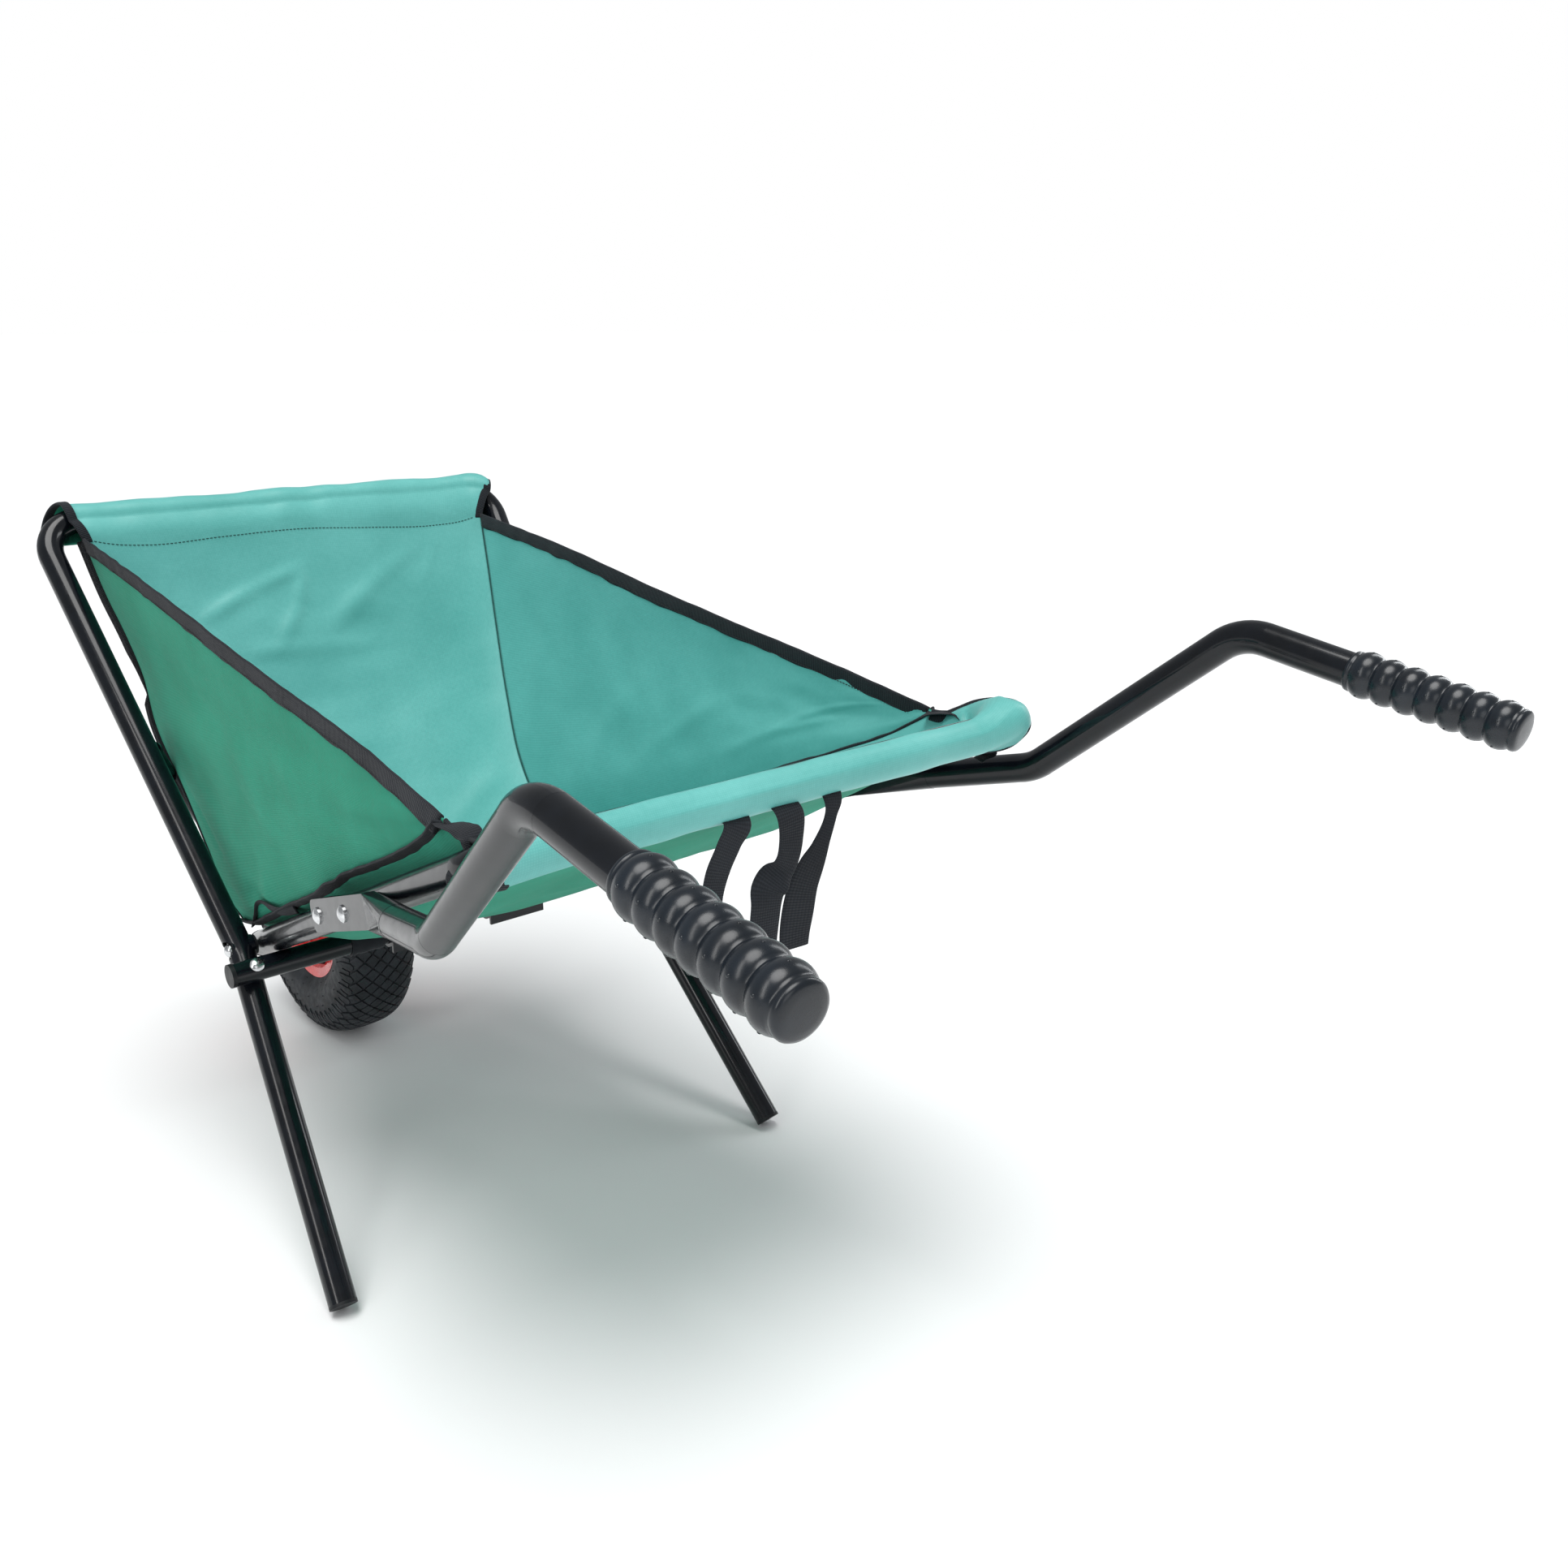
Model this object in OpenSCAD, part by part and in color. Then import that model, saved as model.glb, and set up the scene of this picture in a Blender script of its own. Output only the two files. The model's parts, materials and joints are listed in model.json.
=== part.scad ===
// Folding single-wheel beach cart with a fabric tub.
// +X is forward (wheel end), +Y is the operator's left, Z is up, the floor is z = 0.

/* [Tubes] */
// Outer diameter of the legs, rails and handles
tube_d = 25; // [24:0.1:26]
// Outer diameter of the cross tube under the tub
cross_d = 22; // [20:0.1:22]
// Wall of the bent tubes
wall = 1.6; // [1.2:0.1:2.5]
// Bend radius of the tube corners
bend_r = 42; // [38:1:46]
// Bend radius of the handle cranks
crank_r = 46; // [40:1:50]

/* [Front frame] */
// Half width between the feet
foot_w = 241.2; // [230:0.1:250]
// Half width of the legs at the pivots
waist_w = 214.2; // [212:0.1:218]
// Half width of the front frame at its top bar
top_w = 256.5; // [250:0.1:265]
// Forward position of the top bar
top_x = 559; // [552:0.1:564]
// Height of the top bar
top_z = 632.5; // [624:0.1:638]

/* [Handle frame] */
// Half width of the rails at the pivots
rail_w = 186; // [184:0.1:186]
// Half width of the rear bar corners
rear_w = 241; // [238:0.1:244]
// Height of the rear bar
rear_z = 517; // [512:0.1:524]
// Ridge diameter of the hand grips
grip_d = 31; // [29.5:0.1:33]
// Number of ridges on each grip
grip_rings = 7; // [5:1:8]

/* [Wheel] */
// Outer diameter of the tyre
tyre_d = 310; // [300:1:312]
// Width of the tyre
tyre_w = 90; // [80:1:90]
// Diameter of the rim flanges
rim_d = 168; // [160:1:172]
// Axle diameter
axle_d = 12; // [10:0.5:12]

/* [Fabric] */
// Thickness of the tub fabric solids
cloth = 2.4; // [2:0.1:3]
// Width of the webbing straps
web_w = 25; // [20:1:30]

/* [Hidden] */
$fn = 48;
x0 = -3;                 // puts the middle of the overall box on x = 0
tr = tube_d / 2;
ti = tr - wall;
cr = cross_d / 2;
foot = [0, foot_w, 8.6];
waist = [231.3, waist_w, 258.7];
top = [top_x, top_w, top_z];
piv = [234, 0, 262];     // fold axis, along Y
rear = [-318, rear_w, rear_z];
axle = [540, 0, tyre_d / 2];
pin_r = 4;               // pivot bolt radius

function unit(v) = v / norm(v);
function perp(z) = unit(cross(abs(z[2]) < 0.9 ? [0, 0, 1] : [1, 0, 0], z));
function lerp(a, b, t) = a + (b - a) * t;
function turn(a, v, b) = acos(max(-1, min(1, unit(v - a) * unit(b - v))));

leg_u = unit(waist - foot);
leg_n = unit([-leg_u[2], 0, leg_u[0]]);          // square to the leg, to the rear and up
cross_c = (foot + leg_u * 313.5) + leg_n * (tr + cr + 0.1);
rail_u = unit([rear[0], rear_w, rear[2]] - [piv[0], rail_w, piv[2]]);
rail_p = [piv[0], rail_w, piv[2]];
top_u = unit(top - waist);

// ---- helpers ----
module at(o, z, x) {
  y = cross(z, x);
  multmatrix([[x[0], y[0], z[0], o[0]], [x[1], y[1], z[1], o[1]], [x[2], y[2], z[2], o[2]], [0, 0, 0, 1]])
    children();
}
module place(o, z) { at(o, z, perp(z)) children(); }
module rod(a, b, ro, ri = 0) {
  place(a, unit(b - a)) linear_extrude(norm(b - a)) difference() {
    circle(ro);
    if (ri > 0) circle(ri);
  }
}
module elbow(a, v, b, r, ro, ri) {
  d1 = unit(v - a);
  d2 = unit(b - v);
  ang = turn(a, v, b);
  t = r * tan(ang / 2);
  n = unit(cross(d1, d2));
  s = v - d1 * t;
  c = s + cross(n, d1) * r;
  at(c, n, unit(s - c)) rotate_extrude(angle = ang) translate([r, 0]) difference() {
    circle(ro + 0.05);
    if (ri > 0) circle(ri - 0.05);
  }
}
// Straight runs joined by round bends. r holds one radius for each inner point. Each run
// reaches a little way into its bends, which are a hair thicker, so the pieces join cleanly.
module bent(p, r, ro, ri) {
  n = len(p);
  for (i = [0:n - 2]) {
    u = unit(p[i + 1] - p[i]);
    a = i == 0 ? 0 : r[i - 1] * tan(turn(p[i - 1], p[i], p[i + 1]) / 2);
    b = i == n - 2 ? 0 : r[i] * tan(turn(p[i], p[i + 1], p[i + 2]) / 2);
    rod(p[i] + u * (a - (i == 0 ? 0 : 0.4)), p[i + 1] - u * (b - (i == n - 2 ? 0 : 0.4)), ro, ri);
  }
  for (i = [1:n - 2]) elbow(p[i - 1], p[i], p[i + 1], r[i - 1], ro, ri);
}
module both() { children(); mirror([0, 1, 0]) children(); }
module side(s) { if (s > 0) children(); else mirror([0, 1, 0]) children(); }
function my(p) = [p[0], -p[1], p[2]];
module slot2d(len, wid) { square([len, wid], center = true); for (s = [-1, 1]) translate([s * len / 2, 0]) circle(wid / 2); }
// Round-headed bolt: head at o, shank along -z for len, nut at the far end.
module bolt(o, z, len, r, head, nut = true) {
  place(o, z) {
    intersection() {
      translate([0, 0, -head * 0.75]) sphere(head * 1.35);
      cylinder(h = head, r = head);
    }
    translate([0, 0, -len]) cylinder(h = len + 0.2, r = r);
    if (nut) translate([0, 0, -len]) cylinder(h = r * 1.7, r = r * 1.85, $fn = 6);
  }
}

// ---- front frame body ----
module main_frame() {
  f = foot + leg_u * 3;
  pts = [f, waist, top, my(top), my(waist), my(f)];
  color("#15171b") translate([x0, 0, 0]) difference() {
    union() {
      bent(pts, [70, bend_r, bend_r, 70], tr, ti);
      both() rod([piv[0], waist_w - tr + 0.6, piv[2]], [piv[0], waist_w + tr - 4, piv[2]], 10.5);
    }
    both() {
      rod([piv[0], waist_w - 30, piv[2]], [piv[0], waist_w + 30, piv[2]], pin_r + 0.02);
      rod([piv[0], waist_w + 6.5, piv[2]], [piv[0], waist_w + 30, piv[2]], 9);
      place(cross_hole(), leg_n) translate([0, 0, -40]) cylinder(h = 90, r = 3.05);
      place(stay_top(), top_n) cylinder(h = 50, r = 3.05);
    }
  }
}
function cross_hole() = foot + leg_u * 313.5;
top_f = unit([top_u[2], 0, -top_u[0]]);          // square to the upper leg, forward and down
top_n = unit(top_f * cos(38) + cross(top_f, top_u) * sin(38));
function stay_top() = waist + top_u * 228;

module foot_plug(s) {
  color("#101114") translate([x0, 0, 0]) side(s) place(foot, leg_u) {
    cylinder(h = 18, r = ti - 0.1);
    cylinder(h = 3, r = tr);
  }
}
module cross_tube() {
  w = waist_w + 22;
  color("#15171b") translate([x0, 0, 0]) difference() {
    rod([cross_c[0], -w, cross_c[2]], [cross_c[0], w, cross_c[2]], cr, cr - 1.5);
    both() place(cross_hole(), leg_n) translate([0, 0, -10]) cylinder(h = 60, r = 3.05);
    both() translate([cross_c[0], 73.5, cross_c[2] - 30]) cylinder(h = 60, r = 3.05);
  }
}
module cross_plug(s) {
  w = waist_w + 22;
  color("#101114") translate([x0, 0, 0]) side(s) {
    rod([cross_c[0], w - 14, cross_c[2]], [cross_c[0], w, cross_c[2]], cr - 1.6);
    rod([cross_c[0], w, cross_c[2]], [cross_c[0], w + 4, cross_c[2]], cr + 0.3);
  }
}
module cross_bolt(s) {
  color("silver") translate([x0, 0, 0]) side(s)
    bolt(cross_hole() + leg_n * (tr + cross_d + 0.3), leg_n, tr * 2 + cross_d + 7.4, 3, 6.5);
}
module pivot_bolt(s) {
  color("silver") translate([x0, 0, 0]) side(s) {
    rod([piv[0], rail_w - tr - 8, piv[2]], [piv[0], waist_w + 9, piv[2]], pin_r);
    place([piv[0], waist_w + 6.6, piv[2]], [0, 1, 0]) {
      cylinder(h = 3.6, r = 7.8, $fn = 6);
      translate([0, 0, 3.4]) intersection() { translate([0, 0, -2]) sphere(7); cylinder(h = 9, r = 6.2); }
    }
    rod([piv[0], rail_w - tr - 6.2, piv[2]], [piv[0], rail_w - tr - 2, piv[2]], 7);
  }
}
module pivot_spacer(s) {
  color("#202226") translate([x0, 0, 0]) side(s) {
    rod([piv[0], rail_w + tr + 1.2, piv[2]], [piv[0], waist_w - tr - 0.06, piv[2]], 9.5, pin_r + 0.05);
  }
}
// ---- wheel fork: a saddle under the cross tube with two arms to the axle ----
arm_w = 62;
function arm_dir() = unit([axle[0] - cross_c[0], 0, axle[2] - cross_c[2]]);
module wheel_fork(s) {
  u = arm_dir();
  c = [cross_c[0], 0, cross_c[2]];
  color("#15171b") translate([x0, 0, 0]) side(s) difference() {
    union() {
      // half-round saddle under the tube, with a plate hanging at the back
      translate([c[0], 85, c[2]]) rotate([90, 0, 0]) linear_extrude(62) difference() {
        union() {
          intersection() { circle(cr + 3.3); translate([-30, -60]) square([60, 64]); }
          translate([-cr - 3.3, -cr - 6]) square([3, cr + 8]);
        }
        circle(cr + 0.15);
      }
      // flat arm down to the axle
      translate([0, 62, 0]) rotate([90, 0, 0]) linear_extrude(5) difference() {
        union() {
          translate([axle[0], axle[2]]) circle(15);
          translate([axle[0], axle[2]]) rotate(atan2(-u[2], -u[0])) translate([0, -13])
            square([norm([axle[0] - c[0], axle[2] - c[2]]) - cr - 1.5, 26]);
        }
        translate([axle[0], axle[2]]) circle(axle_d / 2 + 0.05);
      }
    }
    translate([c[0], 73.5, c[2] - 60]) cylinder(h = 120, r = 3.05);
  }
}
module fork_bolt(s) {
  color("silver") translate([x0, 0, 0]) side(s)
    bolt([cross_c[0], 73.5, cross_c[2] + cr + 0.1], [0, 0, 1], cross_d + 9.4, 3, 5);
}
// ---- stays from the axle up to the front frame ----
function stay_a() = axle + [0, 64.3, 0];
function stay_b() = stay_top() + top_n * (tr + 2.3);
module stay(s) {
  a = stay_a();
  b = stay_b();
  u = unit(b - a);
  color("#15171b") translate([x0, 0, 0]) side(s) difference() {
    union() {
      place(a - [0, 2.1, 0], [0, 1, 0]) cylinder(h = 4.2, r = 13);
      hull() {
        place(a + u * 34, u) cylinder(h = 2, r = 8.3, $fn = 20);
        place(a - [0, 2, 0], [0, 1, 0]) cylinder(h = 4, r = 11, $fn = 20);
      }
      rod(a + u * 35, b - u * 33, 8);
      hull() {
        place(b - u * 34, u) cylinder(h = 2, r = 8.3, $fn = 20);
        place(b - top_n * 1.9, top_n) cylinder(h = 3.8, r = 10, $fn = 20);
      }
      place(b - top_n * 2, top_n) cylinder(h = 4, r = 11);
    }
    rod(a - [0, 20, 0], a + [0, 20, 0], axle_d / 2 + 0.05);
    place(b, top_n) translate([0, 0, 2]) cylinder(h = 30, r = 9);
    place(b, top_n) translate([0, 0, -20]) cylinder(h = 40, r = 3.05);
    place(a + [0, 2.1, 0], [0, 1, 0]) cylinder(h = 12, r = 11.5);
  }
}
module stay_bolt(s) {
  color("silver") translate([x0, 0, 0]) side(s)
    bolt(stay_top() + top_n * (tr + 4.4), top_n, 13, 3, 5.5);
}
module axle_rod() {
  color("silver") translate([x0, 0, 0]) difference() {
    rod(axle - [0, 79, 0], axle + [0, 79, 0], axle_d / 2);
    for (s = [-1, 1]) rod(axle + [0, s * 78, 0], axle + [0, s * 80, 0], 2.5);
  }
}
module axle_nut(s) {
  color("silver") translate([x0, 0, 0]) side(s) {
    place(axle + [0, 66.5, 0], [0, 1, 0]) difference() {
      union() { cylinder(h = 1.6, r = 10.5); translate([0, 0, 1.6]) cylinder(h = 8, r = 9.5, $fn = 6); }
      translate([0, 0, -1]) cylinder(h = 20, r = axle_d / 2 + 0.02);
    }
  }
}
module axle_spacer(s) {
  color("#202226") translate([x0, 0, 0]) side(s)
    rod(axle + [0, 41.3, 0], axle + [0, 56.9, 0], 9, axle_d / 2 + 0.02);
}

// ---- wheel body ----
module rim_half(s) {
  rr = rim_d / 2;
  color("#d8323a") translate([x0, 0, 0]) translate(axle) side(s) rotate([-90, 0, 0]) difference() {
    rotate_extrude($fn = 96) polygon([
      [13, 0.1], [rr - 14, 0.1], [rr - 14, 3], [rr - 15, 22], [rr - 9, 27], [rr - 2, 28], [rr, 30],
      [rr, 32.5], [rr - 3, 32], [rr - 11, 30], [rr - 18, 24], [rr - 18, 12], [rr - 22, 6],
      [44, 3.2], [36, 9], [24, 12], [19, 16], [18, 38], [13, 38]]);
    for (a = [45:90:315]) rotate(a) translate([52, 0, -5]) cylinder(h = 30, r = 3.2);
    for (a = [0:90:270]) rotate(a) translate([54, 0, -5]) cylinder(h = 30, r = 7);
    if (s > 0) rotate([90, 0, 0]) rotate([0, 28, 0]) rod([0, 6, -rr + 9.6], [0, 46, -rr + 24.2], 3.4);
  }
}
module rim_bolts() {
  color("silver") translate([x0, 0, 0]) translate(axle) rotate([-90, 0, 0]) for (a = [45:90:315]) rotate(a)
    translate([52, 0, 0]) {
      cylinder(h = 18, r = 3, center = true);
      for (s = [-1, 1]) translate([0, 0, s * 7.8]) cylinder(h = 4.4, r = 5.5, $fn = 6, center = true);
    }
}
module hub_bush(s) {
  color("#e8e8e4") translate([x0, 0, 0]) side(s) {
    rod(axle + [0, 16, 0], axle + [0, 38.1, 0], 12.98, axle_d / 2 + 0.05);
    rod(axle + [0, 38.1, 0], axle + [0, 41, 0], 17, axle_d / 2 + 0.05);
  }
}
tr_o = tyre_d / 2;
module tyre() {
  w = tyre_w / 2;
  rr = rim_d / 2;
  // a rounded casing with a flat-crowned tread, open at the beads
  color("#26292c") translate([x0, 0, 0]) translate(axle) rotate([90, 0, 0]) rotate_extrude($fn = 96) difference() {
    polygon([
      [rr - 8, 26.6], [rr + 1, 27.2], [rr + 1, 33.4], [rr + 8, w - 6], [rr + 20, w - 1.2], [rr + 34, w],
      [tr_o - 24, w - 1], [tr_o - 14, w - 5], [tr_o - 6, w - 13], [tr_o - 2, w - 22], [tr_o, w - 34],
      [tr_o, 34 - w], [tr_o - 2, 22 - w], [tr_o - 6, 13 - w], [tr_o - 14, 5 - w], [tr_o - 24, 1 - w],
      [rr + 34, -w], [rr + 20, 1.2 - w], [rr + 8, 6 - w], [rr + 1, -33.4], [rr + 1, -27.2], [rr - 8, -26.6]]);
    polygon([
      [rr - 12, 21.2], [rr + 4, 21.6], [rr + 18, w - 7], [rr + 34, w - 6], [tr_o - 24, w - 8],
      [tr_o - 12, w - 20], [tr_o - 9, 0], [tr_o - 12, 20 - w], [tr_o - 24, 8 - w], [rr + 34, 6 - w],
      [rr + 18, 7 - w], [rr + 4, -21.6], [rr - 12, -21.2]]);
  }
}
module inner_tube() {
  w = tyre_w / 2;
  rr = rim_d / 2;
  color("#1c1d1f") translate([x0, 0, 0]) translate(axle) rotate([90, 0, 0]) rotate_extrude($fn = 64)
    translate([(rr + tr_o) / 2 - 5, 0]) difference() { circle(29); circle(27); }
}
module valve_stem() {
  rr = rim_d / 2;
  color("#1c1d1f") translate([x0, 0, 0]) translate(axle) rotate([0, 28, 0])
    rod([0, 12.6, -rr + 12], [0, 40, -rr + 22], 3);
}

// ---- handle frame body ----
module rail_frame() {
  a = rail_p - rail_u * 28;
  k = [rear[0], rear_w, rear[2]];
  color("#15171b") translate([x0, 0, 0]) difference() {
    bent([a, k, my(k), my(a)], [bend_r, bend_r], tr, ti);
    both() rod([piv[0], rail_w - 30, piv[2]], [piv[0], rail_w + 30, piv[2]], pin_r + 0.06);
    both() for (b = [bolt1, bolt2]) place(b, hp_n) translate([0, 0, -50]) cylinder(h = 80, r = 3.05);
  }
}
module rail_plug(s) {
  a = rail_p - rail_u * 28;
  color("#101114") translate([x0, 0, 0]) side(s) {
    rod(a + rail_u * 12, a, ti - 0.1);
    rod(a, a - rail_u * 4, tr + 0.3);
  }
}
// Handle line: a pressed flat bolted outside the rail, then the crank and the grip.
flat_t = 9;
flat_h = 27;
function rail_at(x) = rail_p + rail_u * ((x - piv[0]) / rail_u[0]);
hp_off = tr + 0.25 + flat_t / 2;
hp_n = unit(cross([0, 0, 1], unit([rail_u[0], rail_u[1], 0])) * -1);   // outward, level
h0 = rail_at(2) + hp_n * hp_off + [0, 0, 4];
h1 = rail_at(-135) + hp_n * hp_off + [0, 0, -8];
h2 = [-309, 277.6, 470.8];
h3 = [-478.9, 302.9, 610.6];
h4 = [-683.8, 309.3, 577.2];
flat_u = unit(h1 - h0);
bolt1 = h0 + flat_u * 18;
bolt2 = h0 + flat_u * 88;
thr = h1 + unit(h2 - h1) * 80;
module handle(s) {
  fz = unit(cross(hp_n, flat_u));
  color("#15171b") translate([x0, 0, 0]) side(s) difference() {
    union() {
      // the flattened end of the tube, with its corners rounded off
      at(h0 - hp_n * flat_t / 2, hp_n, flat_u) linear_extrude(flat_t) {
        translate([7, -flat_h / 2]) square([norm(h1 - h0) - 7, flat_h]);
        translate([0, 7 - flat_h / 2]) square([10, flat_h - 14]);
        for (i = [-1, 1]) translate([7, i * (flat_h / 2 - 7)]) circle(7);
      }
      hull() {
        at(h1 - flat_u * 3, flat_u, hp_n) linear_extrude(2) square([flat_t + 0.14, flat_h + 0.3], center = true);
        place(thr, unit(h2 - h1)) cylinder(h = 3, r = (tr + 0.12) / cos(180 / 32), $fn = 32);
      }
      bent([thr + unit(h2 - h1) * 1, h2, h3, h4], [crank_r, crank_r], tr, ti);
    }
    for (b = [bolt1, bolt2]) place(b, hp_n) translate([0, 0, -30]) cylinder(h = 60, r = 3.05);
  }
}
module grip(s) {
  u = unit(h4 - h3);
  n = grip_rings;
  len = 122;
  p = (len - 8) / n;
  a = h4 - u * (len - 3);
  color("#23272c") translate([x0, 0, 0]) side(s) place(a, u) difference() {
    rotate_extrude() polygon([[0, 0], [tr + 1.6, 0],
      for (i = [0:n - 1], q = [[-0.42, 1.5], [-0.3, grip_d / 2 - tr - 0.4], [-0.16, grip_d / 2 - tr],
        [0.16, grip_d / 2 - tr], [0.3, grip_d / 2 - tr - 0.4], [0.42, 1.5]])
        [tr + q[1], 4 + p * (i + 0.5 + q[0])],
      [tr + 1.6, len - 1], [tr + 0.6, len], [0, len]]);
    translate([0, 0, -1]) cylinder(h = len - 2.9 + 1, r = tr + 0.05);
  }
}
module handle_bolt(s) {
  color("silver") translate([x0, 0, 0]) side(s) for (b = [bolt1, bolt2])
    bolt(b + hp_n * (flat_t / 2 + 0.05), hp_n, flat_t + tube_d + 6.1, 3, 7);
}

// ---- fabric ----
// A flat plate of cloth: corners a (front line) and b (rear line), half widths wa and wb.
module plate(a, b, wa, wb, t) {
  u = unit([b[0] - a[0], 0, b[2] - a[2]]);
  l = norm([b[0] - a[0], 0, b[2] - a[2]]);
  n = cross(u, [0, 1, 0]);
  at([a[0], 0, a[2]] - n * t / 2, n, u) linear_extrude(t)
    polygon([[0, -wa], [l, -wb], [l, wb], [0, wa]]);
}
module sleeve(c, w, dir, l) {
  // c: bar centre in XZ, dir: angle of the flap below the bar
  translate([c[0], w, c[2]]) rotate([90, 0, 0]) linear_extrude(2 * w) difference() {
    union() {
      circle(tr + 0.5 + cloth);
      rotate(dir) translate([0, -cloth / 2]) square([l, cloth]);
    }
    circle(tr + 0.5);
  }
}
fp_a = [532, 0, 604];
fp_b = [330, 0, 262];
module strip2d(p, q, t) {
  d = unit([q[0] - p[0], q[1] - p[1]]) ;
  translate(p) rotate(atan2(d[1], d[0])) translate([-0.6, -t / 2]) square([norm([q[0] - p[0], q[1] - p[1]]) + 1.2, t]);
}
module front_panel() {
  w = top_w - 41.5;
  p = [[top[0], top[2]], [fp_a[0], fp_a[2]], [fp_b[0], fp_b[2]], [240, 266]];
  color("#5bc0b5") translate([x0, 0, 0]) difference() {
    translate([0, w, 0]) rotate([90, 0, 0]) linear_extrude(2 * w) difference() {
      union() {
        translate(p[0]) circle(tr + 0.5 + cloth);
        for (i = [0:2]) strip2d(p[i], p[i + 1], cloth);
      }
      translate(p[0]) circle(tr + 0.5);
    }
    // the sides close in towards the bottom
    both() translate([200, 0, 0]) rotate([90, 0, 90]) linear_extrude(400)
      polygon([[w - 0.5, 604], [w + 80, 604], [w + 80, 240], [157, 240]]);
  }
}
// Side panel in the plane through the front top, rear top and bottom corners.
sp_f = [530, 226, 600];
sp_r = [-249, 220, 521];
sp_v = [250, 166, 275];
sp_n = unit(cross(sp_v - sp_r, sp_f - sp_r)) * -1;
sp_x = unit(sp_f - sp_r);
sp_y = cross(sp_n, sp_x);
function on_sp(x, z) = let (y = sp_r[1] - (sp_n[0] * (x - sp_r[0]) + sp_n[2] * (z - sp_r[2])) / sp_n[1],
  d = [x, y, z] - sp_r) [d * sp_x, d * sp_y];
module side_panel(s) {
  color("#3a9a78") translate([x0, 0, 0]) side(s) at(sp_r - sp_n * cloth / 2, sp_n, sp_x) linear_extrude(cloth)
    polygon([on_sp(526, 598), on_sp(421, 400), on_sp(362, 305), on_sp(340, 272), on_sp(240, 274),
      on_sp(-60, 362), on_sp(-249, 476), on_sp(-249, 521)]);
}
fl_a = [226, 0, 270];
fl_b = [-60, 0, 350];
fl_c = [-313, 0, 502];
module floor_panel() {
  color("#3a9a78") translate([x0, 0, 0]) {
    plate(fl_a, fl_b, 160, 182, cloth);
    plate(fl_b, fl_c, 182, 194, cloth);
    sleeve([rear[0], 0, rear[2]], rear_w - 46, atan2(fl_c[2] - rear[2], fl_c[0] - rear[0]), 24);
  }
}
// Webbing band round the cross tube on the left.
module cross_strap() {
  color("#1b1c1e") translate([x0, 0, 0])
    rod([cross_c[0], 93, cross_c[2]], [cross_c[0], 123, cross_c[2]], cr + 3.2, cr + 0.3);
}
// A hanging webbing strap: flat runs through the points p (y, z), x forward of the bar.
module hang(x, p) {
  color("#1b1c1e") translate([x0 + x - 1, 0, 0]) rotate([90, 0, 90]) linear_extrude(2)
    for (i = [0:len(p) - 2])
      polygon([p[i] - [web_w / 2, 0], p[i] + [web_w / 2, 0], p[i + 1] + [web_w / 2, 0], p[i + 1] - [web_w / 2, 0]]);
}
module strap_inner() { hang(-330, [[-31, 503], [-27, 478], [-12, 440], [9, 392]]); }
module strap_middle() { hang(-333.5, [[13, 503], [17, 478], [27, 446], [38, 410]]); }
module strap_outer() { hang(-330, [[58, 503], [62, 480], [79, 452]]); }

main_frame();
foot_plug(1);  // foot_plug_left
foot_plug(-1);  // foot_plug_right
cross_tube();
cross_plug(1);  // cross_plug_left
cross_plug(-1);  // cross_plug_right
cross_bolt(1);  // cross_bolt_left
cross_bolt(-1);  // cross_bolt_right
pivot_bolt(1);  // pivot_bolt_left
pivot_bolt(-1);  // pivot_bolt_right
pivot_spacer(1);  // pivot_spacer_left
pivot_spacer(-1);  // pivot_spacer_right
wheel_fork(1);  // wheel_fork_left
wheel_fork(-1);  // wheel_fork_right
fork_bolt(1);  // fork_bolt_left
fork_bolt(-1);  // fork_bolt_right
stay(1);  // stay_left
stay(-1);  // stay_right
stay_bolt(1);  // stay_bolt_left
stay_bolt(-1);  // stay_bolt_right
axle_rod();
axle_nut(1);  // axle_nut_left
axle_nut(-1);  // axle_nut_right
axle_spacer(1);  // axle_spacer_left
axle_spacer(-1);  // axle_spacer_right
front_panel();
side_panel(1);  // side_panel_left
side_panel(-1);  // side_panel_right
cross_strap();
rim_half(1);  // rim_left
rim_half(-1);  // rim_right
rim_bolts();
hub_bush(1);  // hub_bush_left
hub_bush(-1);  // hub_bush_right
tyre();
inner_tube();
valve_stem();
rail_frame();
rail_plug(1);  // rail_plug_left
rail_plug(-1);  // rail_plug_right
handle(1);  // handle_left
handle(-1);  // handle_right
grip(1);  // grip_left
grip(-1);  // grip_right
handle_bolt(1);  // handle_bolt_left
handle_bolt(-1);  // handle_bolt_right
floor_panel();
strap_inner();
strap_middle();
strap_outer();
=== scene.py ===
# Looks for the folding beach cart: cloth tub, binding, straps, tyre tread, grips and materials.
import json
import math

import bpy
import numpy as np
from mathutils import Matrix, Vector


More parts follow.
